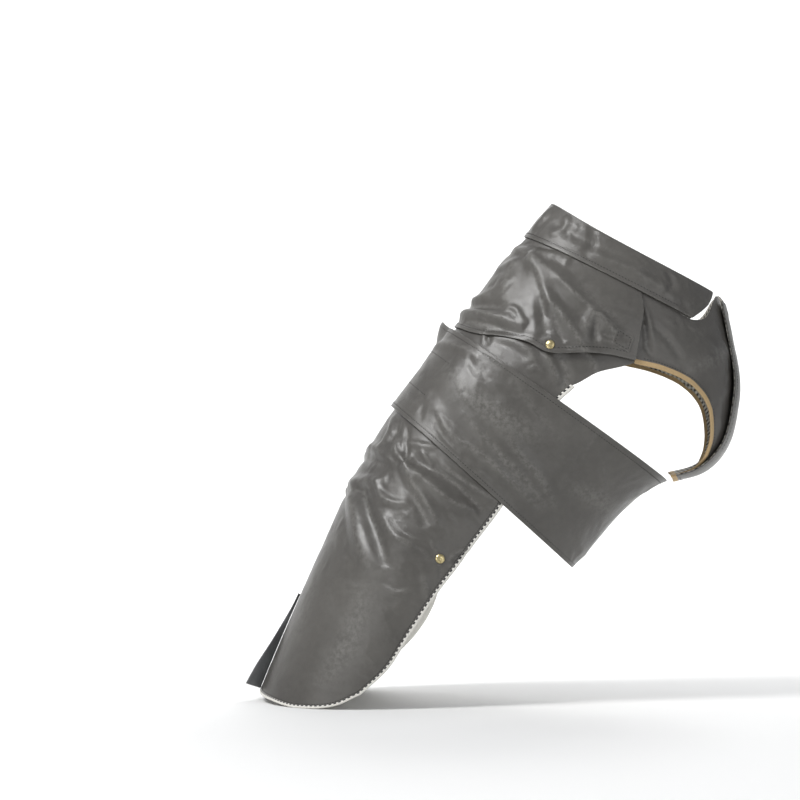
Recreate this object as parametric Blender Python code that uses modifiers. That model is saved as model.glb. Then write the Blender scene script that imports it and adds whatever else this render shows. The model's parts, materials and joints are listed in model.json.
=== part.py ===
"""A waxed dog raincoat with a shoulder cape, a fold-down collar and a wide belly wrap.

The coat has the shape it takes on a sitting dog. +X is the way the dog faces, +Y is the dog's
left and +Z is up. The origin is on the dog's withers, where the lining rests on the back.

Every piece of cloth follows one body form. A place on the form is (along, round): metres down
the spine from the collar seam, and degrees round from the spine towards the right-hand side.
A third number, the lift, is the height over the form, so the layers lie one on another.
"""

import math
from collections import namedtuple

import bmesh
import bpy
import numpy as np
from mathutils import Matrix

MM = 0.001
COLLECTION = "dog_coat"

# Overall sizes of the coat.
BACK_LENGTH = 0.674
CHEST_DEPTH = 0.352
CHEST_HALF_WIDTH = 0.120
COLLAR_FALL = 0.049
CAPE_LENGTH = 0.149
WRAP_WIDTH = 0.124
WRAP_GAP = 0.004
VENT_LENGTH = 0.133
WITHERS = 0.100

# Cloth thicknesses and the heights of the layers over the form.
LINING = 0.6 * MM
CLOTH = 1.0 * MM
STRAP_CLOTH = 1.2 * MM
TAPE = 0.6 * MM
LINING_LIFT = 0.3 * MM
SHELL_LIFT = LINING_LIFT + LINING + 0.5 * MM
SHELL_TOP = SHELL_LIFT + CLOTH
LAYER_GAP = 0.7 * MM
TAPE_GAP = 0.4 * MM
WRAP_EASE = 0.95 * MM
SEAM_GAP = 0.4 * MM
COLLAR_GAP = 0.7 * MM
OVER_RISE = CLOTH + 2 * TAPE + LINING + 5 * LAYER_GAP

# Press studs: each is two halves that clip together, with the cloths STUD_SPACE apart.
CAP_RADIUS = 5.9 * MM
CAP_CURL = 0.4 * MM
DISC_RADIUS = 5.0 * MM
LIP_RADIUS = 4.25 * MM
SHANK_RADIUS = 1.5 * MM
STUD_CLEARANCE = 0.4 * MM
CAP_DOME = 2.4 * MM
SEAT = 0.8 * MM
CAP_SEAT = 0.25 * MM
SOCKET_HEIGHT = 1.9 * MM
SOCKET_WEB = 0.6 * MM
HEAD_RADIUS = 2.7 * MM
NECK_RADIUS = 2.3 * MM
FLANGE = 0.5 * MM
STUD_SPACE = 2 * (SEAT + SOCKET_HEIGHT) - 0.9 * MM
STUD_STEPS = 12

CAPE_LIFT = SHELL_TOP + STUD_SPACE
CAPE_ROOT_LIFT = SHELL_TOP + LAYER_GAP
STRAP_WIDTH = 0.010
STRAP_LIFT = LINING_LIFT - STUD_SPACE - STRAP_CLOTH
PATCH_LIFT = LINING_LIFT - 2 * TAPE_GAP - STRAP_CLOTH
PATCH_REACH = 0.011
TAB_REACH = 0.009
SWING_GAP = 0.9 * MM
LOOP_LEAVES = (0.012, 0.006, -0.105)
LOOP_RETURNS = (-0.004, -0.018, -0.105)
BINDING = 0.0035
PATCH_WIDTH = 0.050
VENT_ROOT = 0.004
VENT_FLARE = 0.024
STRAP_TAPER = 0.45

# Places on the form.
CAPE_STUD = (CAPE_LENGTH - 0.041, 65.5)
LEG_STUD = (BACK_LENGTH - 0.270, 91.0)
STRAP_END = (BACK_LENGTH - 0.074, 24.0)
CAPE_FOLD = 40.0
CAPE_FRONT = 98.5
TAB_TURNS = (87.0, 95.0)
TAB_LENGTH = 0.016
CENTRE = 0.4
CHEST_SEAM = 90.5
SEAM_LENGTH = 0.081
SEAM_LEAN = 8.0
SEAM_TURN = 0.25
CHEST_COLUMNS = 15
COLUMN_WIDTH = 0.012
TOUCH_TAPE = (0.030, 0.030 + PATCH_WIDTH)
COLLAR_CORNER = 125.0
WRAP_FOLD = 36.0
WRAP_END = -24.0
WRAP_STEP = 6.0
UNDER_END = 194.0
OVER_END = 200.0
DEGREE_LENGTH = 0.0021

# along and the two sizes are shares of BACK_LENGTH, CHEST_DEPTH and CHEST_HALF_WIDTH. heading is
# the spine's slope below the horizontal and lean that of the section, both in degrees.
Station = namedtuple("Station", "along heading lean depth half_width")
STATIONS = (
    Station(0.000, 52.0, 27.3, 0.793, 0.717),
    Station(0.095, 51.0, 27.8, 0.952, 0.883),
    Station(0.154, 52.0, 31.6, 1.014, 0.967),
    Station(0.187, 52.2, 33.2, 0.997, 0.985),
    Station(0.223, 52.5, 34.5, 0.926, 1.000),
    Station(0.410, 54.0, 41.8, 0.838, 1.033),
    Station(0.497, 60.0, 38.0, 0.798, 1.117),
    Station(0.614, 65.5, 31.0, 0.764, 1.217),
    Station(0.803, 66.0, 22.0, 0.727, 1.267),
    Station(1.000, 68.0, 10.0, 0.693, 1.250),
)
RIM = Station(0.0, 55.0, 29.3, 0.676, 0.617)

Finish = namedtuple("Finish", "colour roughness metallic")
FINISHES = {
    "waxed_cloth": Finish((0.115, 0.110, 0.100), 0.38, 0.0),
    "check_lining": Finish((0.62, 0.60, 0.55), 0.85, 0.0),
    "tan_binding": Finish((0.50, 0.36, 0.18), 0.75, 0.0),
    "touch_tape": Finish((0.05, 0.05, 0.05), 0.9, 0.0),
    "elastic": Finish((0.85, 0.84, 0.80), 0.7, 0.0),
    "brass": Finish((0.62, 0.50, 0.27), 0.32, 1.0),
}


def smooth(at, knots, values):
    """A cubic curve through the values at the knots, with each slope taken from its neighbours."""
    knots, values = np.asarray(knots, float), np.asarray(values, float)
    slopes = np.gradient(values, knots)
    left = np.clip(np.searchsorted(knots, at) - 1, 0, len(knots) - 2)
    span = knots[left + 1] - knots[left]
    t = (at - knots[left]) / span
    start = (2 * t**3 - 3 * t**2 + 1) * values[left] + (t**3 - 2 * t**2 + t) * span * slopes[left]
    stop = (3 * t**2 - 2 * t**3) * values[left + 1] + (t**3 - t**2) * span * slopes[left + 1]
    return start + stop


def ramp(at, low, high):
    """0 below low, 1 above high and a smooth rise between."""
    t = np.clip((np.asarray(at) - low) / (high - low), 0, 1)
    return t * t * (3 - 2 * t)


KNOTS = [-COLLAR_FALL] + [station.along * BACK_LENGTH for station in STATIONS]
SHAPE = [[getattr(station, field) for station in (RIM, *STATIONS)] for field in Station._fields]
SPINE_AT = np.linspace(-COLLAR_FALL - 0.01, BACK_LENGTH + 0.01, 1501)


def spine_points():
    """The spine's x and z at SPINE_AT: its heading added up step by step, from the withers."""
    heading = np.radians(smooth(SPINE_AT, KNOTS, SHAPE[1]))
    step = np.diff(SPINE_AT)
    middle = (heading[1:] + heading[:-1]) / 2
    x = np.concatenate([[0], np.cumsum(-np.cos(middle) * step)])
    z = np.concatenate([[0], np.cumsum(-np.sin(middle) * step)])
    return x - np.interp(WITHERS, SPINE_AT, x), z - np.interp(WITHERS, SPINE_AT, z)


SPINE_X, SPINE_Z = spine_points()


def on_form(along, turn):
    """Points on the body form. Each section is an ellipse from the spine to the belly line."""
    along, turn = np.broadcast_arrays(np.asarray(along, float), np.radians(turn))
    lean = np.radians(smooth(along, KNOTS, SHAPE[2]))
    depth = smooth(along, KNOTS, SHAPE[3]) * CHEST_DEPTH * (1 - np.cos(turn)) / 2
    width = smooth(along, KNOTS, SHAPE[4]) * CHEST_HALF_WIDTH
    x = np.interp(along, SPINE_AT, SPINE_X) + depth * np.cos(lean)
    z = np.interp(along, SPINE_AT, SPINE_Z) - depth * np.sin(lean)
    return np.stack([x, -width * np.sin(turn), z], -1)


def outward(along, turn):
    """The form's unit normals, from the cross product of its two slopes."""
    small, tilt = 1e-4, 0.05
    down = on_form(np.add(along, small), turn) - on_form(np.subtract(along, small), turn)
    across = on_form(along, np.add(turn, tilt)) - on_form(along, np.subtract(turn, tilt))
    normal = np.cross(down, across)
    return normal / np.linalg.norm(normal, axis=-1, keepdims=True)


def lifted(along, turn, lift):
    """Points at a height over the form."""
    return on_form(along, turn) + outward(along, turn) * np.asarray(lift, float)[..., None]


def rail(points, count, bend=True):
    """count + 1 places along a smooth line, or a straight-sided one, through the given places."""
    points = np.asarray(points, float)
    if len(points) == count + 1:
        return points
    steps = np.diff(points, axis=0) * (1, DEGREE_LENGTH)
    run = np.concatenate([[0], np.cumsum(np.linalg.norm(steps, axis=1))])
    at = np.linspace(0, run[-1], count + 1)
    if len(points) == 2 or not bend:
        return np.stack([np.interp(at, run, points[:, i]) for i in (0, 1)], -1)
    return np.stack([smooth(at, run, points[:, i]) for i in (0, 1)], -1)


def inset(points, width):
    """The same line moved sideways over the form, to the left of its direction."""
    points = np.asarray(points, float)
    slope = np.gradient(points * (1, DEGREE_LENGTH), axis=0)
    slope /= np.linalg.norm(slope, axis=1, keepdims=True)
    return points + np.stack([slope[:, 1], -slope[:, 0] / DEGREE_LENGTH], -1) * width


def panel(top, bottom, start, end, rows, columns):
    """Places over a four-sided panel, as a Coons patch between its four edges."""
    top, bottom = (rail(line, columns)[None] for line in (top, bottom))
    start, end = (rail(line, rows, bend=False)[:, None] for line in (start, end))
    u = np.linspace(0, 1, rows + 1)[:, None, None]
    v = np.linspace(0, 1, columns + 1)[None, :, None]
    corners = (1 - u) * ((1 - v) * top[:, :1] + v * top[:, -1:])
    corners = corners + u * ((1 - v) * bottom[:, :1] + v * bottom[:, -1:])
    return (1 - u) * top + u * bottom + (1 - v) * start + v * end - corners


def band(low, high, first, last, rows, columns):
    """Places over a panel with straight edges: along from low to high, round from first to last."""
    along, turn = np.linspace(low, high, rows + 1), np.linspace(first, last, columns + 1)
    return np.stack(np.meshgrid(along, turn, indexing="ij"), -1)


def strip(line, width):
    """Places over a strip of cloth between a line and the same line moved to its inner side."""
    return np.stack([line, inset(line, width)])


def material(name):
    found = bpy.data.materials.get(name)
    if found:
        return found
    finish = FINISHES[name]
    found = bpy.data.materials.new(name)
    found.use_nodes = True
    shader = found.node_tree.nodes["Principled BSDF"]
    shader.inputs["Base Color"].default_value = (*finish.colour, 1)
    shader.inputs["Roughness"].default_value = finish.roughness
    shader.inputs["Metallic"].default_value = finish.metallic
    return found


def add_object(name, mesh, finish=None, cutter=False):
    obj = bpy.data.objects.new(name, mesh)
    bpy.data.collections["cutters" if cutter else COLLECTION].objects.link(obj)
    if cutter:
        obj.hide_render = True
        obj.display_type = "WIRE"
    else:
        mesh.materials.append(material(finish))
    return obj


def cloth(name, points, thickness, finish, side=1, pivot=None, cutters=()):
    """A sheet through a grid of points, thickened outwards. side -1 mirrors it to the left.

    pivot is a point on the axis that the piece turns about, which becomes its origin.
    """
    points = np.array(points) * (1, side, 1)
    origin = np.zeros(3) if pivot is None else np.asarray(pivot) * (1, side, 1)
    rows, columns = points.shape[0] - 1, points.shape[1] - 1
    bm = bmesh.new()
    bmesh.ops.create_grid(bm, x_segments=rows, y_segments=columns, size=1)
    for vertex in bm.verts:
        row = round((vertex.co.x + 1) / 2 * rows)
        column = round((vertex.co.y + 1) / 2 * columns)
        vertex.co = points[row, column] - origin
    if side < 0:
        bmesh.ops.reverse_faces(bm, faces=bm.faces)
    bmesh.ops.triangulate(bm, faces=bm.faces, quad_method="FIXED")
    mesh = bpy.data.meshes.new(name)
    bm.to_mesh(mesh)
    bm.free()
    obj = add_object(name, mesh, finish)
    obj.location = origin
    solidify = obj.modifiers.new("thickness", "SOLIDIFY")
    solidify.thickness = thickness
    solidify.offset = 1
    for cutter in cutters:
        cut = obj.modifiers.new("stud_hole", "BOOLEAN")
        cut.object = cutter
        cut.solver = "EXACT"
    mesh.shade_smooth()
    return obj


def sheet(name, places, lift, thickness, finish, **options):
    """A piece of cloth that lies on the form at the given places, at one lift or one for each."""
    lift = np.broadcast_to(lift, places.shape[:2])
    points = lifted(places[..., 0], places[..., 1], lift)
    return cloth(name, points, thickness, finish, **options)


def turned(name, profile, frame, finish):
    """A round piece from its (radius, height) profile, which runs down its outer side."""
    mesh = bpy.data.meshes.new(name)
    closed = profile[0][0] > 0
    edges = [(i, i + 1) for i in range(len(profile) - 1)]
    if closed:
        edges.append((len(profile) - 1, 0))
    mesh.from_pydata([(radius, 0, height) for radius, height in profile], edges, [])
    obj = add_object(name, mesh, finish)
    obj.matrix_world = frame
    screw = obj.modifiers.new("turn", "SCREW")
    screw.axis = "Z"
    screw.steps = STUD_STEPS
    screw.render_steps = STUD_STEPS
    screw.use_merge_vertices = True
    screw.merge_threshold = 0.00001
    return obj


def frame_at(along, turn, lift, side=1):
    """A frame on the form with +Z outwards, on the right-hand side or mirrored to the left."""
    flip = np.array((1, side, 1))
    origin = lifted(along, turn, lift) * flip
    up = outward(along, turn) * flip
    down = (on_form(along + 1e-3, turn) - on_form(along, turn)) * flip
    down = down - up * np.dot(down, up)
    down /= np.linalg.norm(down)
    axes = np.stack([down, np.cross(up, down), up, origin], -1)
    return Matrix([*axes.tolist(), [0, 0, 0, 1]])


def dome(base, height, radius, count=3):
    """Profile points of a flattened dome, from its crown to its rim."""
    angles = np.linspace(0, math.pi / 2, count + 1)
    return [(radius * math.sin(a), base + height * math.cos(a)) for a in angles]


def cap_profile(seat, tip):
    """A domed cap on a cloth face at height seat, with its shank down to the tip."""
    base = seat + CAP_SEAT
    under = [(SHANK_RADIUS, base), (SHANK_RADIUS, tip), (0, tip)]
    return dome(base + FLANGE / 2, CAP_DOME, CAP_RADIUS) + [(CAP_RADIUS - CAP_CURL, base)] + under


def socket_profile(seat):
    """The ring under the cap: a web round the shank and a cavity that opens downwards."""
    bore, cavity = SHANK_RADIUS + STUD_CLEARANCE, HEAD_RADIUS + STUD_CLEARANCE
    top = seat - SEAT
    web, mouth = top - SOCKET_WEB, top - SOCKET_HEIGHT
    outside = [(DISC_RADIUS, top), (DISC_RADIUS, web), (LIP_RADIUS, mouth)]
    return outside + [(cavity, mouth), (cavity, web), (bore, web), (bore, top)]


def stud_profile(seat):
    """The male half: a flange with a round head, hollow round the post's shank."""
    bore = SHANK_RADIUS + STUD_CLEARANCE / 2
    base = seat + SEAT
    crown = base + SOCKET_HEIGHT
    roof = base + SOCKET_HEIGHT / 2
    head = [(0, crown), (NECK_RADIUS, crown), (HEAD_RADIUS, crown - FLANGE)]
    flange = [(NECK_RADIUS, base + FLANGE), (DISC_RADIUS, base + FLANGE), (DISC_RADIUS, base)]
    return head + flange + [(bore, base), (bore, roof), (0, roof)]


def post_profile(seat, tip):
    """A flat disc under a cloth face at height seat, with its shank up to the tip."""
    top = seat - SEAT
    shank = [(0, tip), (SHANK_RADIUS, tip), (SHANK_RADIUS, top)]
    return shank + [(DISC_RADIUS, top), (DISC_RADIUS, top - FLANGE), (0, top - FLANGE)]


def press_stud(name, place, cap_cloth, stud_cloth, side):
    """One press stud through two cloths, each given as its (low, high) lifts."""
    frame = frame_at(*place, 0.0, side)
    cap_tip = cap_cloth[0] - SEAT - SOCKET_WEB
    post_tip = stud_cloth[1] + SEAT + SOCKET_HEIGHT / 2 - STUD_CLEARANCE
    turned(f"{name}_cap", cap_profile(cap_cloth[1], cap_tip), frame, "brass")
    turned(f"{name}_socket", socket_profile(cap_cloth[0]), frame, "brass")
    turned(f"{name}_stud", stud_profile(stud_cloth[1]), frame, "brass")
    turned(f"{name}_post", post_profile(stud_cloth[0], post_tip), frame, "brass")


def stud_cutter(name, place, side):
    """A rod through all the cloths of one press stud, which cuts their holes."""
    bm = bmesh.new()
    radius = SHANK_RADIUS + STUD_CLEARANCE
    bmesh.ops.create_cone(
        bm, cap_ends=True, segments=STUD_STEPS, radius1=radius, radius2=radius, depth=40 * MM
    )
    mesh = bpy.data.meshes.new(name)
    bm.to_mesh(mesh)
    bm.free()
    rod = add_object(name, mesh, cutter=True)
    rod.matrix_world = frame_at(*place, 0.0, side)
    return rod


def seam_turn(along):
    """The seam between the back and chest panels leans forward as it goes down."""
    return CHEST_SEAM + SEAM_LEAN * along / SEAM_LENGTH


def side_edge():
    """The coat's own front edge, from the cut-out for the foreleg down to the rear corner."""
    wrap = CAPE_LENGTH + WRAP_GAP
    tail = BACK_LENGTH
    return [
        (wrap - 0.022, 85.0),
        (wrap + 0.05, 92.0),
        (wrap + WRAP_WIDTH, 101.0),
        (tail - 0.295, 102.0),
        (tail - 0.210, 97.5),
        (tail - 0.148, 95.0),
        (tail - 0.086, 93.0),
        (tail - 0.040, 86.5),
    ]


def hem_edge():
    """The rear hem, from the corner back to the tail vent."""
    tail = BACK_LENGTH
    return [
        (tail - 0.040, 86.5),
        (tail - 0.015, 76.5),
        (tail + 0.001, 55.0),
        (tail + 0.002, 30.0),
        (tail, CENTRE),
    ]


def cut_out_edge(last):
    """The foreleg cut-out's edge on the chest, from the seam round the bib to the given turn."""
    return [
        (SEAM_LENGTH, seam_turn(SEAM_LENGTH) + SEAM_TURN),
        (0.074, 112.0),
        (0.073, 128.0),
        (0.081, 140.0),
        (0.098, 149.0),
        (0.119, 159.0),
        (0.137, 169.0),
        (0.147, 180.0),
        (0.147, last),
    ]


def cape_edge(first, last):
    """The cape's lower edge, which dips round the stud and climbs to the cape's front corner."""
    line = [(CAPE_LENGTH, 0.0), (CAPE_LENGTH - 0.001, 12.0), (CAPE_LENGTH - 0.008, 33.5)]
    stud, stud_turn = CAPE_STUD
    line += [(stud + 0.018, 48.0), (stud + 0.010, 58.0), (stud + 0.0085, stud_turn + 0.5)]
    line += [(stud - 0.008, 77.0), (CAPE_LENGTH - 0.061, 86.0), (CAPE_LENGTH - 0.070, CAPE_FRONT)]
    turns = [turn for _, turn in line]
    alongs = [along for along, _ in line]
    between = [place for place in line if first < place[1] < last]
    ends = [(float(smooth(turn, turns, alongs)), turn) for turn in (first, last)]
    return [ends[0], *between, ends[1]]


def chest_top(last):
    """The chest panel's upper edge: under the collar, then up past its corner to the neck rim."""
    corner = COLLAR_CORNER
    line = [(0.002, CHEST_SEAM), (0.002, 108.0), (0.004, corner + 1), (-0.004, corner + 10)]
    line += [(0.008 - COLLAR_FALL, corner + 30), (0.001 - COLLAR_FALL, corner + 37)]
    return line + [(0.008 - COLLAR_FALL, 180.0), (0.009 - COLLAR_FALL, last)]


def back_places():
    """The main back panel, from the collar seam to the hem and from the centre to the side."""
    spare = BINDING + SEAM_GAP
    columns = math.ceil(CHEST_HALF_WIDTH / COLUMN_WIDTH)
    hem = inset(rail(hem_edge(), columns), spare)[::-1]
    side = inset(rail(side_edge(), 12), spare)
    hem[-1] = side[-1] = (hem[-1] + side[-1]) / 2
    hem[0] = (hem[0][0], CENTRE)
    seam = [(along, seam_turn(along)) for along in np.linspace(COLLAR_GAP, SEAM_LENGTH, 6)]
    below_arm = SEAM_LENGTH + 0.48 * (CAPE_LENGTH + WRAP_GAP - 0.022 - SEAM_LENGTH)
    front = [*seam, (SEAM_LENGTH + 0.007, 95.0), (below_arm, 87.0), *map(tuple, side)]
    top = [(COLLAR_GAP, CENTRE), front[0]]
    start = [top[0], tuple(hem[0])]
    return panel(top, hem, start, front, len(front) - 1, columns)


def chest_places(last):
    """A chest panel from its seam round the front of the chest to its free edge."""
    bottom = inset(rail(cut_out_edge(last), CHEST_COLUMNS), -BINDING - SEAM_GAP)
    bottom[0, 1] = seam_turn(bottom[0, 0]) + SEAM_TURN
    top = chest_top(last)
    top[0] = (0.002, seam_turn(0.002) + SEAM_TURN)
    start = [top[0], tuple(bottom[0])]
    end = [top[-1], tuple(bottom[-1])]
    return panel(top, bottom, start, end, 12, CHEST_COLUMNS)


def cape_places(first, last, columns):
    """A stretch of the cape between two turns, from the collar seam to its lower edge."""
    if first > 0:
        bottom = cape_edge(first, last)
        top = [(0.010, first), (0.010, CHEST_SEAM)]
    else:
        half = cape_edge(0.0, last)
        bottom = [(along, -turn) for along, turn in half[:0:-1]] + half
        top = [(0.004, first), (0.004, last)]
    return panel(top, bottom, [top[0], bottom[0]], [top[-1], bottom[-1]], 5, columns)


def cape_lift(places):
    """The cape lies close under the collar and stands off the shell lower down."""
    return CAPE_ROOT_LIFT + (CAPE_LIFT - CAPE_ROOT_LIFT) * ramp(places[..., 0], 0.0, 0.045)


def over_lift(places, base):
    """A chest layer that rises from the seam, to pass over the other chest panel."""
    return base + OVER_RISE * ramp(places[..., 1], CHEST_SEAM + 6, 158.0)


def make_shell(cutters):
    for side, hand in ((1, "right"), (-1, "left")):
        holes = [cutters[f"cape_stud_{hand}"], cutters[f"leg_stud_{hand}"]]
        back = back_places()
        options = {"side": side, "cutters": holes}
        sheet(f"back_panel_{hand}", back, SHELL_LIFT, CLOTH, "waxed_cloth", **options)
        sheet(f"back_lining_{hand}", back, LINING_LIFT, LINING, "check_lining", **options)


def make_chest():
    """The right panel lies flat on the chest and the left one closes over it."""
    under = chest_places(UNDER_END)
    sheet("chest_panel_right", under, SHELL_LIFT, CLOTH, "waxed_cloth")
    sheet("chest_lining_right", under, LINING_LIFT, LINING, "check_lining")
    over = chest_places(OVER_END)
    pivot = lifted(0.04, seam_turn(0.04), SHELL_TOP)
    options = {"side": -1, "pivot": pivot}
    sheet("chest_flap_left", over, over_lift(over, SHELL_LIFT), CLOTH, "waxed_cloth", **options)
    sheet("chest_flap_lining", over, over_lift(over, LINING_LIFT), LINING, "check_lining", **options)
    tape = band(*TOUCH_TAPE, 167.0, 192.0, 4, 4)
    sheet("chest_loop_tape", tape, SHELL_TOP + LAYER_GAP, TAPE, "touch_tape")
    hook = SHELL_TOP + TAPE + 2 * LAYER_GAP
    mirrored = band(*TOUCH_TAPE, 168.0, 193.0, 4, 4)
    sheet("chest_hook_tape", mirrored, hook, TAPE, "touch_tape", **options)


def make_bindings():
    """Check binding along each rear edge, tan binding round each foreleg cut-out."""
    for side, hand in ((1, "right"), (-1, "left")):
        hem = strip(rail(hem_edge(), 10), BINDING)
        edge = strip(rail(side_edge(), 12), BINDING)
        joined = np.concatenate([edge[:, :-1], (edge[:, -1:] + hem[:, :1]) / 2, hem[:, 1:]], axis=1)
        depth = SHELL_TOP - LINING_LIFT
        sheet(f"hem_binding_{hand}", joined[::-1], LINING_LIFT, depth, "check_lining", side=side)
        end = UNDER_END if side > 0 else OVER_END
        cut = strip(rail(cut_out_edge(end), CHEST_COLUMNS), -BINDING)
        lift = LINING_LIFT if side > 0 else over_lift(cut, LINING_LIFT)
        sheet(f"leg_hole_binding_{hand}", cut, lift, depth, "tan_binding", side=side)


def make_cape(cutters):
    back = cape_places(-CAPE_FOLD, CAPE_FOLD, 10)
    sheet("cape_back", back, cape_lift(back), CLOTH, "waxed_cloth")
    pivot = lifted(0.006, CAPE_FOLD, CAPE_ROOT_LIFT)
    for side, hand in ((1, "right"), (-1, "left")):
        wing = cape_places(CAPE_FOLD + CENTRE, CAPE_FRONT, 8)
        options = {"side": side, "pivot": pivot, "cutters": [cutters[f"cape_stud_{hand}"]]}
        sheet(f"cape_side_{hand}", wing, cape_lift(wing), CLOTH, "waxed_cloth", **options)
        low = CAPE_LENGTH - 0.089
        tab = band(low, low + TAB_LENGTH, *TAB_TURNS, 2, 2)
        lift = CAPE_LIFT + CLOTH + TAPE_GAP
        sheet(f"cape_tab_{hand}", tab, lift, TAPE, "waxed_cloth", side=side, pivot=pivot)


def make_collar():
    """The stand rises from the collar seam to the neck rim and the fall folds down over it."""
    corner = COLLAR_CORNER
    rim = [(-COLLAR_FALL, 0.0), (0.006 - COLLAR_FALL, 70.0), (0.002 - COLLAR_FALL, corner + 26)]
    edge = [(0.0, 0.0), (-0.0002, 60.0), (0.0002, corner)]
    mirrored = [[(along, -turn) for along, turn in line[:0:-1]] + line for line in (rim, edge)]
    top, bottom = mirrored
    front = [top[-1], bottom[-1]]
    back = [top[0], bottom[0]]
    fall = panel(top, bottom, back, front, 2, 30)
    low, high = SHELL_TOP + LAYER_GAP, CAPE_ROOT_LIFT + CLOTH + LAYER_GAP
    rise = ramp(fall[..., 0], -COLLAR_FALL, 0.0)
    sheet("collar_fall", fall, low + (high - low) * rise, STRAP_CLOTH, "waxed_cloth")
    stand = fall * (1, 0.985)
    sheet("collar_stand", stand, LINING_LIFT, SHELL_TOP - LINING_LIFT, "waxed_cloth")


def make_wrap():
    """The belly wrap: the left half ends under the right one, which closes over the back."""
    top = CAPE_LENGTH + WRAP_GAP
    bottom = top + WRAP_WIDTH
    low = SHELL_TOP + WRAP_EASE
    tape_low = low + STRAP_CLOTH + TAPE_GAP
    hook_low = tape_low + TAPE + TAPE_GAP
    high = hook_low + TAPE + TAPE_GAP
    columns = round((180 + WRAP_FOLD - WRAP_STEP) / WRAP_STEP)
    left = band(top, bottom, -180, WRAP_FOLD - WRAP_STEP, 3, columns)
    left[:, 0, 1] += CENTRE
    sheet("wrap_left", left, low, STRAP_CLOTH, "waxed_cloth")
    right = band(top, bottom, WRAP_FOLD + SEAM_TURN, 180 - CENTRE, 3, 16)
    climb = 1 - ramp(right[..., 1], WRAP_FOLD + 2, WRAP_FOLD + 38)
    sheet("wrap_right", right, low + (high - low) * climb, STRAP_CLOTH, "waxed_cloth")
    steps = round((WRAP_FOLD - WRAP_END) / WRAP_STEP)
    pivot = lifted(top, WRAP_FOLD, high + STRAP_CLOTH)
    end = band(top, bottom, WRAP_END, WRAP_FOLD, 3, steps)
    sheet("wrap_end_flap", end, high, STRAP_CLOTH, "waxed_cloth", pivot=pivot)
    middle = top + WRAP_WIDTH / 2
    tape = (middle - PATCH_WIDTH / 2, middle + PATCH_WIDTH / 2, WRAP_END + WRAP_STEP)
    tape = band(*tape, WRAP_FOLD - WRAP_STEP, 3, steps - 2)
    sheet("wrap_loop_tape", tape, tape_low, TAPE, "touch_tape")
    sheet("wrap_hook_tape", tape, hook_low, TAPE, "touch_tape", pivot=pivot)


def make_vent():
    """The left panel's vent flap, which flares out from the tail end of the centre-back seam."""
    along = np.linspace(BACK_LENGTH - VENT_LENGTH, BACK_LENGTH - BINDING, 6)
    root = lifted(along, -0.2, SHELL_TOP + LAYER_GAP)
    width = VENT_ROOT + VENT_FLARE * ramp(along, along[0], along[-1] + 0.03)
    flare = outward(along, 0.0) * 0.75 + np.array((0, -0.66, 0))
    share = np.linspace(0, 1, 4)[None, :, None]
    points = root[:, None] + (flare * width[:, None])[:, None] * share
    cloth("vent_flap_left", points[:, ::-1], CLOTH, "waxed_cloth", pivot=root[0])


def ribbon(middle, across, width):
    """Both edges of a flat strap, from its middle line, its crosswise direction and its width."""
    flat = across / np.linalg.norm(across, axis=1, keepdims=True)
    half = flat * np.asarray(width).reshape(-1, 1) / 2
    return np.stack([middle - half, middle + half], 1)


def strap_run():
    """A leg strap's tab and loop. The loop is a cubic Bezier curve between its two ends.

    It leaves the stud going down and a little forward, hangs, and climbs to its patch.
    """
    tab_frame = np.array(frame_at(*LEG_STUD, STRAP_LIFT))
    end_frame = np.array(frame_at(*STRAP_END, PATCH_LIFT))
    down, back = tab_frame[:3, 0], end_frame[:3, 0]
    across, crosswise = tab_frame[:3, 1], -end_frame[:3, 1]
    stud, patch = tab_frame[:3, 3], end_frame[:3, 3]
    steps = np.array([-1.0, 0.0, 1.0])[:, None] * TAB_REACH
    tab = ribbon(stud + down * steps, np.tile(across, (3, 1)), STRAP_WIDTH)
    a = stud + down * (TAB_REACH + SWING_GAP)
    d = patch + back * (PATCH_REACH + SWING_GAP)
    b = a + np.array(LOOP_LEAVES)
    c = d + np.array(LOOP_RETURNS)
    t = np.linspace(0, 1, 21)[:, None]
    loop = (1 - t) ** 3 * a + 3 * (1 - t) ** 2 * t * b + 3 * (1 - t) * t**2 * c + t**3 * d
    turn = ramp(t, 0, 1)
    width = STRAP_WIDTH * (STRAP_TAPER + (1 - STRAP_TAPER) * ramp(np.minimum(t, 1 - t), 0.0, 0.08))
    return tab, ribbon(loop, (1 - turn) * across + turn * crosswise, width)


def make_leg_straps(cutters):
    tab, loop = strap_run()
    along, turn = STRAP_END
    reach = math.degrees(PATCH_REACH / CHEST_HALF_WIDTH)
    patch = band(along - PATCH_REACH, along + PATCH_REACH, turn - reach, turn + reach, 2, 2)
    for side, hand in ((1, "right"), (-1, "left")):
        sheet(f"strap_patch_{hand}", patch, PATCH_LIFT, STRAP_CLOTH, "elastic", side=side)
        holes = [cutters[f"leg_stud_{hand}"]]
        cloth(f"strap_tab_{hand}", tab, STRAP_CLOTH, "elastic", side=side, cutters=holes)
        cloth(f"leg_strap_{hand}", loop, STRAP_CLOTH, "elastic", side=side, pivot=loop[0].mean(0))


def make_studs():
    """The shoulder studs hold the cape down and the hip studs carry the leg straps."""
    shell = (LINING_LIFT, SHELL_TOP)
    for side, hand in ((1, "right"), (-1, "left")):
        press_stud(f"cape_stud_{hand}", CAPE_STUD, (CAPE_LIFT, CAPE_LIFT + CLOTH), shell, side)
        strap = (STRAP_LIFT, STRAP_LIFT + STRAP_CLOTH)
        press_stud(f"leg_stud_{hand}", LEG_STUD, shell, strap, side)


def start_scene():
    for obj in list(bpy.data.objects):
        bpy.data.objects.remove(obj)
    for name in (COLLECTION, "cutters"):
        bpy.context.scene.collection.children.link(bpy.data.collections.new(name))


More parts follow.
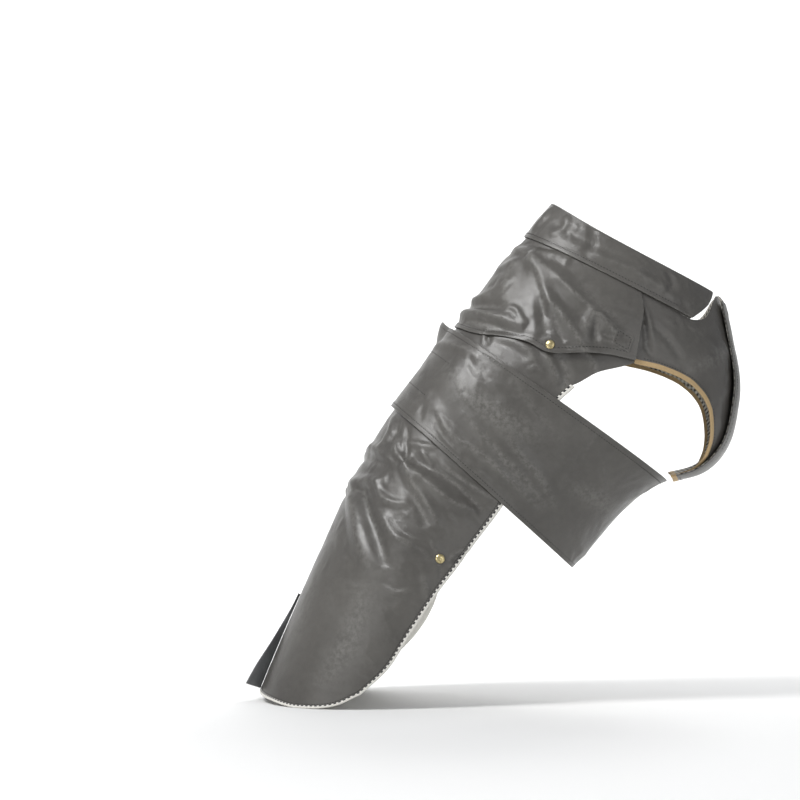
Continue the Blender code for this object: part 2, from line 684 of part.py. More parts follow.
def main():
    start_scene()
    cutters = {}
    for side, hand in ((1, "right"), (-1, "left")):
        for stud, place in (("cape_stud", CAPE_STUD), ("leg_stud", LEG_STUD)):
            cutters[f"{stud}_{hand}"] = stud_cutter(f"cut_{stud}_{hand}", place, side)
    make_shell(cutters)
    make_chest()
    make_bindings()
    make_cape(cutters)
    make_collar()
    make_wrap()
    make_vent()
    make_leg_straps(cutters)
    make_studs()


main()
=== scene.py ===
"""The looks of a waxed dog raincoat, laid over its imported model.

Every cloth of the coat is a surface worked out over one body form. A place on the form is
(along, turn): metres down the spine from the collar seam, and degrees round from the spine
towards the right-hand side. The lift is the height over the form, in metres. +X is the way the
dog faces, +Y is the dog's left and +Z is up.
"""

from __future__ import annotations

import json
import logging
import math
from collections.abc import Callable, Iterable, Sequence
from dataclasses import dataclass, field
from enum import Enum

import bpy
import numpy as np
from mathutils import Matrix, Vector


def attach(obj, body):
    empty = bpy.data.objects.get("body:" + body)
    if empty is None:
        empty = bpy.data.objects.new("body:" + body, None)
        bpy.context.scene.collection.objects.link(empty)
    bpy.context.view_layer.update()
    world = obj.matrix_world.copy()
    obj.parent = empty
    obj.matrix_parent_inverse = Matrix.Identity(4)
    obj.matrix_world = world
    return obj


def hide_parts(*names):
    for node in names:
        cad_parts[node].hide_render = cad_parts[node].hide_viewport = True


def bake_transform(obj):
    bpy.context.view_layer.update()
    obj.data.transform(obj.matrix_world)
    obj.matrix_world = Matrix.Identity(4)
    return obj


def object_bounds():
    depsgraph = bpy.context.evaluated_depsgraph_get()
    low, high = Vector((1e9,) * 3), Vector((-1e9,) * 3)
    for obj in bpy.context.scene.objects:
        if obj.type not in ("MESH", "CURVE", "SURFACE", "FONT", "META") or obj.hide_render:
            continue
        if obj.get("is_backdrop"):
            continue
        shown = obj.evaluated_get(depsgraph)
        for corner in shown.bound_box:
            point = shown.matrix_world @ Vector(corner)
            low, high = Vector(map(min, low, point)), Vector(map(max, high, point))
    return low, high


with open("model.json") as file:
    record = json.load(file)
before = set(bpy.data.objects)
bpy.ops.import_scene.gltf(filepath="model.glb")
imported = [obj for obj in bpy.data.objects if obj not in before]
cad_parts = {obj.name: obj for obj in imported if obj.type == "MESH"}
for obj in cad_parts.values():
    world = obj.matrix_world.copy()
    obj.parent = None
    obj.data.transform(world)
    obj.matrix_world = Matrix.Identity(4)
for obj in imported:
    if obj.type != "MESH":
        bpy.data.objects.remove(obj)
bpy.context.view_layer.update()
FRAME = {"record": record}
LOG = logging.getLogger("dog_raincoat")
MM = 0.001
DEGREE_LENGTH = 0.0021

Line = Sequence[tuple[float, float]]
LiftRule = Callable[[np.ndarray, np.ndarray], np.ndarray]


class Side(Enum):
    """The two sides of the coat. The value is the sign that mirrors a right-hand point."""

    RIGHT = 1
    LEFT = -1

    @property
    def hand(self) -> str:
        """The side's name as the model's nodes spell it."""
        return self.name.lower()


class Edge(Enum):
    """The four edges of a panel: its first and last row, and its first and last column."""

    TOP = "top"
    BOTTOM = "bottom"
    START = "start"
    END = "end"


@dataclass(frozen=True)
class Station:
    """One section of the body form, in shares of the coat's own sizes and in degrees."""

    along: float
    heading: float
    lean: float
    depth: float
    half_width: float


@dataclass(frozen=True)
class CoatSizes:
    """The coat's named sizes in metres, and the places of its studs and folds on the form."""

    back_length: float = 0.674
    chest_depth: float = 0.352
    chest_half_width: float = 0.120
    collar_fall: float = 0.049
    cape_length: float = 0.149
    wrap_width: float = 0.124
    wrap_gap: float = 0.004
    vent_length: float = 0.133
    withers: float = 0.100
    lining: float = 0.6 * MM
    cloth: float = 1.0 * MM
    tape: float = 0.6 * MM
    lining_lift: float = 0.3 * MM
    layer_gap: float = 0.7 * MM
    tape_gap: float = 0.4 * MM
    wrap_ease: float = 0.95 * MM
    binding: float = 3.5 * MM
    cap_radius: float = 5.9 * MM
    disc_radius: float = 5.0 * MM
    shank_radius: float = 1.5 * MM
    stud_clearance: float = 0.4 * MM
    cap_dome: float = 2.4 * MM
    seat: float = 0.8 * MM
    cap_seat: float = 0.25 * MM
    socket_height: float = 1.9 * MM
    socket_web: float = 0.6 * MM
    head_radius: float = 2.7 * MM
    neck_radius: float = 2.3 * MM
    flange: float = 0.5 * MM
    patch_reach: float = 11.0 * MM
    tab_reach: float = 9.0 * MM
    seam_length: float = 0.081
    seam_lean: float = 8.0
    chest_seam: float = 90.5
    collar_corner: float = 125.0
    cape_fold: float = 40.0
    cape_front: float = 98.5
    wrap_fold: float = 36.0
    wrap_end: float = -24.0
    under_end: float = 194.0
    over_end: float = 200.0
    centre: float = 0.4

    @property
    def shell_lift(self) -> float:
        """The underside of the outer cloth, over its lining."""
        return self.lining_lift + self.lining + 0.5 * MM

    @property
    def shell_top(self) -> float:
        """The outer face of the outer cloth."""
        return self.shell_lift + self.cloth

    @property
    def stud_space(self) -> float:
        """The space that a closed press stud holds between its two cloths."""
        return 2 * (self.seat + self.socket_height) - 0.9 * MM

    @property
    def cape_lift(self) -> float:
        """The underside of the cape where it stands off the shell."""
        return self.shell_top + self.stud_space

    @property
    def cape_root(self) -> float:
        """The underside of the cape where it goes under the collar."""
        return self.shell_top + self.layer_gap

    @property
    def cape_stud(self) -> tuple[float, float]:
        """The place of the shoulder stud."""
        return self.cape_length - 0.041, 65.5

    @property
    def leg_stud(self) -> tuple[float, float]:
        """The place of the hip stud."""
        return self.back_length - 0.270, 91.0

    @property
    def strap_end(self) -> tuple[float, float]:
        """The place of the leg strap's sewn end."""
        return self.back_length - 0.074, 24.0

    @property
    def wrap_top(self) -> float:
        """The wrap's upper edge, down the spine."""
        return self.cape_length + self.wrap_gap

    @property
    def wrap_bottom(self) -> float:
        """The wrap's lower edge, down the spine."""
        return self.wrap_top + self.wrap_width

    @property
    def over_rise(self) -> float:
        """How far the closing chest panel rises to pass over the other one and its tape."""
        return self.cloth + 2 * self.tape + self.lining + 5 * self.layer_gap


SIZES = CoatSizes()


def smooth(at: np.ndarray, knots: np.ndarray, values: np.ndarray) -> np.ndarray:
    """A cubic Hermite curve through the values, each slope being the one between neighbours.

    Args:
        at: where to read the curve.
        knots: the rising places of the values.
        values: the curve's values at the knots.

    Returns:
        The curve's value at each place.
    """
    at, knots, values = (np.asarray(part, float) for part in (at, knots, values))
    slopes = np.gradient(values, knots)
    left = np.clip(np.searchsorted(knots, at) - 1, 0, len(knots) - 2)
    span = knots[left + 1] - knots[left]
    t = (at - knots[left]) / span
    start = (2 * t**3 - 3 * t**2 + 1) * values[left] + (t**3 - 2 * t**2 + t) * span * slopes[left]
    stop = (3 * t**2 - 2 * t**3) * values[left + 1] + (t**3 - t**2) * span * slopes[left + 1]
    return start + stop


def ramp(at: np.ndarray, low: float, high: float) -> np.ndarray:
    """3t² - 2t³ between low and high: 0 below, 1 above.

    Args:
        at: where to read the ramp.
        low: the place where it leaves 0.
        high: the place where it reaches 1.

    Returns:
        The ramp's value at each place.
    """
    t = np.clip((np.asarray(at, float) - low) / (high - low), 0, 1)
    return t * t * (3 - 2 * t)


def unit(vectors: np.ndarray) -> np.ndarray:
    """Each vector divided by its own length."""
    return vectors / np.maximum(np.linalg.norm(vectors, axis=-1, keepdims=True), 1e-12)


class BodyForm:
    """The body under the coat: half-ellipse sections that hang from a curved spine.

    A section at `along` leans back by its lean angle, is `depth` deep and `half_width` wide. The
    point at `turn` lies depth(1 - cos turn)/2 down the leaning axis and half_width·sin turn out.
    """

    STATIONS = (
        Station(0.000, 52.0, 27.3, 0.793, 0.717),
        Station(0.095, 51.0, 27.8, 0.952, 0.883),
        Station(0.154, 52.0, 31.6, 1.014, 0.967),
        Station(0.187, 52.2, 33.2, 0.997, 0.985),
        Station(0.223, 52.5, 34.5, 0.926, 1.000),
        Station(0.410, 54.0, 41.8, 0.838, 1.033),
        Station(0.497, 60.0, 38.0, 0.798, 1.117),
        Station(0.614, 65.5, 31.0, 0.764, 1.217),
        Station(0.803, 66.0, 22.0, 0.727, 1.267),
        Station(1.000, 68.0, 10.0, 0.693, 1.250),
    )
    RIM = Station(0.0, 55.0, 29.3, 0.676, 0.617)

    def __init__(self, sizes: CoatSizes) -> None:
        """Reads the stations and adds the spine's heading up, step by step, from the withers.

        Args:
            sizes: the coat's sizes.
        """
        self.sizes = sizes
        rows = (self.RIM, *self.STATIONS)
        self.knots = np.array([-sizes.collar_fall, *(s.along * sizes.back_length for s in rows[1:])])
        self.heading = np.array([row.heading for row in rows])
        self.lean = np.array([row.lean for row in rows])
        self.depth = np.array([row.depth for row in rows]) * sizes.chest_depth
        self.width = np.array([row.half_width for row in rows]) * sizes.chest_half_width
        self.at = np.linspace(-sizes.collar_fall - 0.01, sizes.back_length + 0.01, 1501)
        heading = np.radians(smooth(self.at, self.knots, self.heading))
        step, middle = np.diff(self.at), (heading[1:] + heading[:-1]) / 2
        x = np.concatenate([[0], np.cumsum(-np.cos(middle) * step)])
        z = np.concatenate([[0], np.cumsum(-np.sin(middle) * step)])
        self.spine_x = x - np.interp(sizes.withers, self.at, x)
        self.spine_z = z - np.interp(sizes.withers, self.at, z)

    def on(self, along: np.ndarray, turn: np.ndarray) -> np.ndarray:
        """The form's points.

        Args:
            along: metres down the spine.
            turn: degrees round from it.

        Returns:
            The points, with x, y and z on a last axis.
        """
        along, turn = np.broadcast_arrays(np.asarray(along, float), np.radians(turn))
        lean = np.radians(smooth(along, self.knots, self.lean))
        depth = smooth(along, self.knots, self.depth) * (1 - np.cos(turn)) / 2
        width = smooth(along, self.knots, self.width)
        x = np.interp(along, self.at, self.spine_x) + depth * np.cos(lean)
        z = np.interp(along, self.at, self.spine_z) - depth * np.sin(lean)
        return np.stack([x, -width * np.sin(turn), z], -1)

    def outward(self, along: np.ndarray, turn: np.ndarray) -> np.ndarray:
        """The form's unit normals: its slope down the spine crossed with its slope round it.

        Args:
            along: metres down the spine.
            turn: degrees round from it.

        Returns:
            The normals, with x, y and z on a last axis.
        """
        small, tilt = 1e-4, 0.05
        down = self.on(np.add(along, small), turn) - self.on(np.subtract(along, small), turn)
        across = self.on(along, np.add(turn, tilt)) - self.on(along, np.subtract(turn, tilt))
        return unit(np.cross(down, across))

    def lifted(self, along: np.ndarray, turn: np.ndarray, lift: np.ndarray | float) -> np.ndarray:
        """Points at a height over the form: the form's point plus the normal times the lift.

        Args:
            along: metres down the spine.
            turn: degrees round from it.
            lift: the height of each point, or one for all.

        Returns:
            The points, with x, y and z on a last axis.
        """
        height = np.broadcast_to(np.asarray(lift, float), np.shape(along))[..., None]
        return self.on(along, turn) + self.outward(along, turn) * height


FORM = BodyForm(SIZES)


def rail(points: Line, shares: np.ndarray, bend: bool = True) -> np.ndarray:
    """Places at shares of the length of a line: a Hermite curve through its points, or chords.

    Args:
        points: the line's own places.
        shares: from 0 at its start to 1 at its end.
        bend: whether the line is smooth between its points.

    Returns:
        One place for each share.
    """
    places = np.asarray(points, float)
    steps = np.diff(places, axis=0) * (1, DEGREE_LENGTH)
    run = np.concatenate([[0], np.cumsum(np.linalg.norm(steps, axis=1))])
    at = np.asarray(shares) * run[-1]
    if len(places) == 2 or not bend:
        return np.stack([np.interp(at, run, places[:, i]) for i in (0, 1)], -1)
    return np.stack([smooth(at, run, places[:, i]) for i in (0, 1)], -1)


def dense(points: Line, count: int = 160, bend: bool = True) -> np.ndarray:
    """The same line with count + 1 evenly spaced places."""
    return rail(points, np.linspace(0, 1, count + 1), bend)


def inset(points: np.ndarray, width: float | np.ndarray) -> np.ndarray:
    """The line moved sideways over the form: each place plus width times the slope turned left.

    Args:
        points: the line's places.
        width: metres to the left of its direction.

    Returns:
        The moved places.
    """
    slope = unit(np.gradient(points * (1, DEGREE_LENGTH), axis=0))
    side = np.stack([slope[:, 1], -slope[:, 0] / DEGREE_LENGTH], -1)
    return points + side * np.reshape(width, (-1, 1))


def run_length(points: np.ndarray) -> float:
    """The length over the form of a line of places."""
    return float(np.linalg.norm(np.diff(FORM.on(points[:, 0], points[:, 1]), axis=0), axis=1).sum())


def spread(length: float, step: float, low: bool = True, high: bool = True) -> np.ndarray:
    """Shares from 0 to 1, a step apart, and closer beside a finished edge.

    Args:
        length: the length that they divide.
        step: the spacing away from the edges.
        low: whether the first end is a finished edge.
        high: whether the last end is one.

    Returns:
        The rising shares.
    """
    fine = np.array([0, 0.25, 0.6, 1.1, 1.8, 2.7, 3.8, 4.9, 5.9, 6.8, 7.8, 9.0]) * MM / length
    count = max(round(length / step), 2)
    middle = np.linspace(0, 1, count + 1)[1:-1]
    first = fine if low else fine[:1]
    last = 1 - (fine if high else fine[:1])[::-1]
    gap = 0.6 * step / length
    middle = middle[(middle > first[-1] + gap) & (middle < last[0] - gap)]
    return np.concatenate([first, middle, last])


@dataclass
class Places:
    """The places of a panel's points, with each point's distance to the panel's four edges.

    The panel is a Coons patch: the two rails that run across, blended down, plus the two that run
    down, blended across, less the bilinear patch of the four corners.
    """

    grid: np.ndarray

    @classmethod
    def between(
        cls,
        top: Line,
        bottom: Line,
        start: Line,
        end: Line,
        step: float,
        fine: Iterable[Edge] = tuple(Edge),
        bend_sides: bool = False,
    ) -> "Places":
        """A panel between its four edges.

        Args:
            top: the first row's line.
            bottom: the last row's line.
            start: the first column's line.
            end: the last column's line.
            step: the spacing of the points.
            fine: the edges that get closer points.
            bend_sides: whether the start and end lines are smooth curves.

        Returns:
            The panel's places.
        """
        fine = set(fine)
        rails = [np.asarray(line, float) for line in (top, bottom, start, end)]
        lengths = [run_length(dense(line)) for line in rails]
        v = spread(max(lengths[:2]), step, Edge.START in fine, Edge.END in fine)
        u = spread(max(lengths[2:]), step, Edge.TOP in fine, Edge.BOTTOM in fine)
        above, below = (rail(line, v)[None] for line in rails[:2])
        first, last = (rail(line, u, bend_sides)[:, None] for line in rails[2:])
        u, v = u[:, None, None], v[None, :, None]
        corners = (1 - u) * ((1 - v) * above[:, :1] + v * above[:, -1:])
        corners = corners + u * ((1 - v) * below[:, :1] + v * below[:, -1:])
        return cls((1 - u) * above + u * below + (1 - v) * first + v * last - corners)

    @classmethod
    def band(cls, low: float, high: float, first: float, last: float, step: float, **options) -> "Places":
        """A panel with straight edges, from low to high along and from first to last round."""
        top, bottom = [(low, first), (low, last)], [(high, first), (high, last)]
        sides = [(low, first), (high, first)], [(low, last), (high, last)]
        return cls.between(top, bottom, *sides, step, **options)

    @property
    def along(self) -> np.ndarray:
        """Metres down the spine, for each point."""
        return self.grid[..., 0]

    @property
    def turn(self) -> np.ndarray:
        """Degrees round from the spine, for each point."""
        return self.grid[..., 1]

    def flat(self) -> np.ndarray:
        """Each point's own metres down and across, added up along the panel's rows and columns."""
        points = FORM.on(self.along, self.turn)
        down = np.linalg.norm(np.diff(points, axis=0), axis=-1).cumsum(0)
        across = np.linalg.norm(np.diff(points, axis=1), axis=-1).cumsum(1)
        down = np.concatenate([np.zeros((1, down.shape[1])), down])
        across = np.concatenate([np.zeros((across.shape[0], 1)), across], 1)
        return np.stack([across, down], -1)

    def distances(self) -> dict[Edge, np.ndarray]:
        """Metres from each point to each edge, measured down its column or along its row."""
        across, down = np.moveaxis(self.flat(), -1, 0)
        return {
            Edge.TOP: down,
            Edge.BOTTOM: down[-1:] - down,
            Edge.START: across,
            Edge.END: across[:, -1:] - across,
        }


@dataclass(frozen=True)
class Fold:
    """One crease in a cloth: a ridge, or a valley where its height is below 0.

    Across the line the height falls as a tent with a round crest: height·(1 - (√(d² + c²) - c)/r)
    for a distance d, a crest c and a reach r. Along the line it grows from nothing at an open end
    over `taper` of the length, as a square root of the share.
    """

    line: Line
    height: float
    reach: float
    crest: float = 1.6
    taper: tuple[float, float] = (0.35, 0.35)

    def near(self, along: np.ndarray, turn: np.ndarray) -> np.ndarray:
        """Which places lie in the box round the crease, a little past its reach.

        Args:
            along: metres down the spine.
            turn: degrees round from it.

        Returns:
            True for each place inside the box.
        """
        low, high = np.min(self.line, axis=0), np.max(self.line, axis=0)
        far = (self.reach + 2 * self.crest + 2) * MM + 0.12 * np.ptp(
            np.multiply(self.line, (1, DEGREE_LENGTH)), axis=0
        ).max()
        inside = (along > low[0] - far) & (along < high[0] + far)
        return inside & (turn > low[1] - far / DEGREE_LENGTH) & (turn < high[1] + far / DEGREE_LENGTH)

    def shape(self, along: np.ndarray, turn: np.ndarray) -> tuple[np.ndarray, np.ndarray]:
        """The crease's height in metres and its crest mask, from 0 to 1.

        Args:
            along: metres down the spine.
            turn: degrees round from it.

        Returns:
            The height and the mask at each place.
        """
        points = dense(self.line, 12) * (1, DEGREE_LENGTH)
        at = np.stack([along, np.multiply(turn, DEGREE_LENGTH)], -1)[..., None, :]
        start, run = points[:-1], np.diff(points, axis=0)
        share = np.clip(((at - start) * run).sum(-1) / (run**2).sum(-1), 0, 1)
        gap = np.linalg.norm(at - start - run * share[..., None], axis=-1)
        nearest = gap.argmin(-1)[..., None]
        distance = np.take_along_axis(gap, nearest, -1)[..., 0]
        place = (nearest[..., 0] + np.take_along_axis(share, nearest, -1)[..., 0]) / len(run)
        rise = np.ones_like(place)
        for taper, from_end in zip(self.taper, (place, 1 - place)):
            if taper > 0:
                rise *= np.sqrt(np.clip(from_end / taper, 0, 1))
        crest, reach = self.crest * MM, self.reach * MM
        tent = np.clip(1 - (np.sqrt(distance**2 + crest**2) - crest) / reach, 0, 1)
        mask = np.exp(-((distance / (1.2 * MM + crest)) ** 2)) * rise
        return self.height * MM * tent**1.25 * rise, mask * min(abs(self.height) / 3, 1)


@dataclass
class FoldField:
    """All the creases of one cloth. Their heights add up, and they die out round its studs.

    Where it has a fade they also grow from nothing between those two turns, so that the cloth
    meets the next one at the same height.
    """

    folds: Sequence[Fold]
    pins: Sequence[tuple[float, float]] = ()
    pin_reach: tuple[float, float] = (6.5 * MM, 15 * MM)
    fade: tuple[float, float] | None = None

    def shape(self, along: np.ndarray, turn: np.ndarray) -> tuple[np.ndarray, np.ndarray]:
        """The cloth's height over its plain surface and its crest mask.

        Args:
            along: metres down the spine.
            turn: degrees round from it.

        Returns:
            The height in metres and the mask from 0 to 1 at each place.
        """
        along, turn = np.broadcast_arrays(np.asarray(along, float), np.asarray(turn, float))
        height, mask = np.zeros(along.shape), np.zeros(along.shape)
        for fold in self.folds:
            near = fold.near(along, turn)
            more, crest = fold.shape(along[near], turn[near])
            height[near] += more
            mask[near] = np.maximum(mask[near], crest)
        for pin in self.pins:
            gap = np.hypot(along - pin[0], (turn - pin[1]) * DEGREE_LENGTH)
            height = height * ramp(gap, *self.pin_reach)
        if self.fade:
            share = ramp(turn, *self.fade)
            height, mask = height * share, mask * share
        return height, mask

    def height(self, along: np.ndarray, turn: np.ndarray) -> np.ndarray:
        """The first of what shape returns."""
        return self.shape(along, turn)[0]


def crumple(
    seed: int,
    count: int,
    along: tuple[float, float],
    turn: tuple[float, float],
    length: tuple[float, float] = (0.012, 0.05),
    height: float = 0.9,
    reach: tuple[float, float] = (4.0, 11.0),
    slant: float = 0.0,
) -> list[Fold]:
    """Small creases scattered over a cloth, each a short line at a drawn angle.

    Args:
        seed: what the draw starts from, so that it is the same each time.
        count: how many creases.
        along: the stretch down the spine that they lie in.
        turn: the stretch round it.
        length: their shortest and longest length, in metres.
        height: their greatest height, in millimetres.
        reach: their least and greatest reach, in millimetres.
        slant: the angle that their lines gather round, in radians from the spine's direction.

    Returns:
        The creases.
    """
    draw = np.random.default_rng(seed)
    middle = np.stack([draw.uniform(*along, count), draw.uniform(*turn, count)], -1)
    angle = slant + draw.normal(0, 0.8, count)
    half = draw.uniform(*length, count) / 2
    step = np.stack([np.cos(angle) * half, np.sin(angle) * half / DEGREE_LENGTH], -1)
    bend = np.stack([-np.sin(angle) * half, np.cos(angle) * half / DEGREE_LENGTH], -1)
    bend = bend * draw.uniform(-0.25, 0.25, count)[:, None]
    lines = np.stack([middle - step, middle + bend, middle + step], 1)
    heights = draw.uniform(-0.7, 1.0, count) * height
    reaches = draw.uniform(*reach, count)
    return [
        Fold([tuple(p) for p in line.tolist()], float(h), float(r), 0.9)
        for line, h, r in zip(lines, heights, reaches)
    ]


class Shapes:
    """Makes meshes from whole arrays of points, as objects that sit at the origin."""

    @staticmethod
    def mesh_object(
        name: str,
        points: np.ndarray,
        faces: Sequence[np.ndarray],
        material: bpy.types.Material,
        uv: np.ndarray | None = None,
        masks: dict[str, np.ndarray] | None = None,
        sharp: float = 50.0,
    ) -> bpy.types.Object:
        """An object from points and faces.

        Args:
            name: the piece's name.
            points: its points, one row each.
            faces: arrays of faces, one row each, each with its own number of corners.
            material: its finish.
            uv: metres along and across the cloth, one pair for each point.
            masks: named numbers for each point, that its finish reads.
            sharp: the angle in degrees past which an edge is drawn sharp.

        Returns:
            The new object, in the scene.
        """
        mesh = bpy.data.meshes.new(name)
        listed = [row for part in faces for row in part.tolist()]
        mesh.from_pydata(points.tolist(), [], listed)
        mesh.materials.append(material)
        if uv is not None:
            corners = np.empty(len(mesh.loops), np.int32)
            mesh.loops.foreach_get("vertex_index", corners)
            layer = mesh.uv_layers.new(name="cloth")
            layer.uv.foreach_set("vector", uv[corners].astype(np.float32).ravel())
        for label, values in (masks or {}).items():
            attribute = mesh.attributes.new(label, "FLOAT", "POINT")
            attribute.data.foreach_set("value", values.astype(np.float32).ravel())
        mesh.shade_smooth()
        mesh.set_sharp_from_angle(angle=math.radians(sharp))
        obj = bpy.data.objects.new(name, mesh)
        bpy.context.scene.collection.objects.link(obj)
        LOG.info("%s: %d points", name, len(points))
        return obj

    @staticmethod
    def grid_faces(rows: int, columns: int, wrap: bool = False) -> np.ndarray:
        """Four-cornered faces of a grid of points, going down and then across.

        Args:
            rows: how many rows of points.
            columns: how many columns of points.
            wrap: whether the last column joins the first.

        Returns:
            The faces.
        """
        index = np.arange(rows * columns).reshape(rows, columns)
        right = np.roll(index, -1, 1) if wrap else index[:, 1:]
        left = index if wrap else index[:, :-1]
        return np.stack([left[:-1], left[1:], right[1:], right[:-1]], -1).reshape(-1, 4)

    @classmethod
    def slab(cls, outer: np.ndarray, inner: np.ndarray, towards: np.ndarray) -> tuple[np.ndarray, list]:
        """A closed sheet between two grids: both faces, and a rim between their borders.

        Args:
            outer: the outer face's points.
            inner: the inner face's points.
            towards: the direction that the outer face's middle looks in.

        Returns:
            The points and the faces.
        """
        rows, columns = outer.shape[:2]
        face = cls.grid_faces(rows, columns)
        index = np.arange(rows * columns).reshape(rows, columns)
        border = np.concatenate([index[:-1, 0], index[-1, :-1], index[:0:-1, -1], index[0, :0:-1]])
        after = np.roll(border, -1)
        shift = rows * columns
        rim = np.stack([after, border, border + shift, after + shift], -1)
        r, c = rows // 2, columns // 2
        looks = np.cross(outer[r + 1, c] - outer[r, c], outer[r, c + 1] - outer[r, c])
        points = np.concatenate([outer.reshape(-1, 3), inner.reshape(-1, 3)])
        faces = np.concatenate([face, face[:, ::-1] + shift, rim])
        if looks @ towards < 0:
            faces = faces[:, ::-1]
        return points, [faces]

    @classmethod
    def tube(cls, rings: np.ndarray) -> tuple[np.ndarray, list]:
        """A closed bar through rings of points, with a flat cap on each end.

        Args:
            rings: one ring of points for each place along the bar, turning the same way.

        Returns:
            The points and the faces.
        """
        count, around = rings.shape[:2]
        sides = cls.grid_faces(count, around, wrap=True)
        first, last = np.arange(around)[None], np.arange(around)[None] + (count - 1) * around
        centre = rings[count // 2].mean(0)
        quad = rings.reshape(-1, 3)[sides[len(sides) // 2]]
        looks = np.cross(quad[1] - quad[0], quad[3] - quad[0])
        if looks @ (quad.mean(0) - centre) < 0:
            return rings.reshape(-1, 3), [sides[:, ::-1], first[:, ::-1], last]
        return rings.reshape(-1, 3), [sides, first, last[:, ::-1]]


class Nodes:
    """A short way to lay out one material's or one group's nodes."""

    def __init__(self, tree: bpy.types.NodeTree) -> None:
        """Wraps a node tree.

        Args:
            tree: the tree that the nodes go in.
        """
        self.tree = tree

    def add(self, kind: str, inputs: dict | None = None, **settings) -> bpy.types.Node:
        """A node with its settings and its inputs, each a number or another node's output.

        Args:
            kind: the node's type, without its ShaderNode prefix.
            inputs: what its sockets hold, by name or number.
            **settings: the node's own properties.

        Returns:
            The node.
        """
        node = self.tree.nodes.new(kind if kind.startswith("Node") else f"ShaderNode{kind}")
        for key, value in settings.items():
            setattr(node, key, value)
        for key, value in (inputs or {}).items():
            self.put(node.inputs[key], value)
        return node

    def put(
        self, socket: bpy.types.NodeSocket, value: float | Sequence[float] | bpy.types.NodeSocket
    ) -> None:
        """Links an output to a socket, or sets the socket's own value.

        Args:
            socket: the socket.
            value: another node's output, or a plain value.
        """
        if isinstance(value, bpy.types.NodeSocket):
            self.tree.links.new(value, socket)
        else:
            socket.default_value = value

    def math(self, operation: str, *values, clamp: bool = False) -> bpy.types.NodeSocket:
        """One Math node's output."""
        node = self.add("Math", dict(enumerate(values)), operation=operation, use_clamp=clamp)
        return node.outputs[0]

    def between(
        self,
        value: float | bpy.types.NodeSocket,
        low: float,
        high: float,
        to_low: float = 0.0,
        to_high: float = 1.0,
    ) -> bpy.types.NodeSocket:
        """A smooth step of the value from low to high, given out from to_low to to_high."""
        node = self.add("MapRange", {0: value, 1: low, 2: high, 3: to_low, 4: to_high})
        node.interpolation_type = "SMOOTHSTEP"
        return node.outputs[0]

    def mix(
        self,
        share: float | bpy.types.NodeSocket,
        first: Sequence[float] | bpy.types.NodeSocket,
        second: Sequence[float] | bpy.types.NodeSocket,
    ) -> bpy.types.NodeSocket:
        """A colour between two, by share."""
        node = self.add("Mix", data_type="RGBA")
        for socket, value in ((0, share), (6, first), (7, second)):
            self.put(node.inputs[socket], value)
        return node.outputs[2]

    def noise(
        self, vector: bpy.types.NodeSocket, scale: float, detail: float = 3.0, rough: float = 0.55
    ) -> bpy.types.NodeSocket:
        """A noise texture's number, from 0 to 1."""
        inputs = {"Vector": vector, "Scale": scale, "Detail": detail, "Roughness": rough}
        return self.add("TexNoise", inputs).outputs[0]


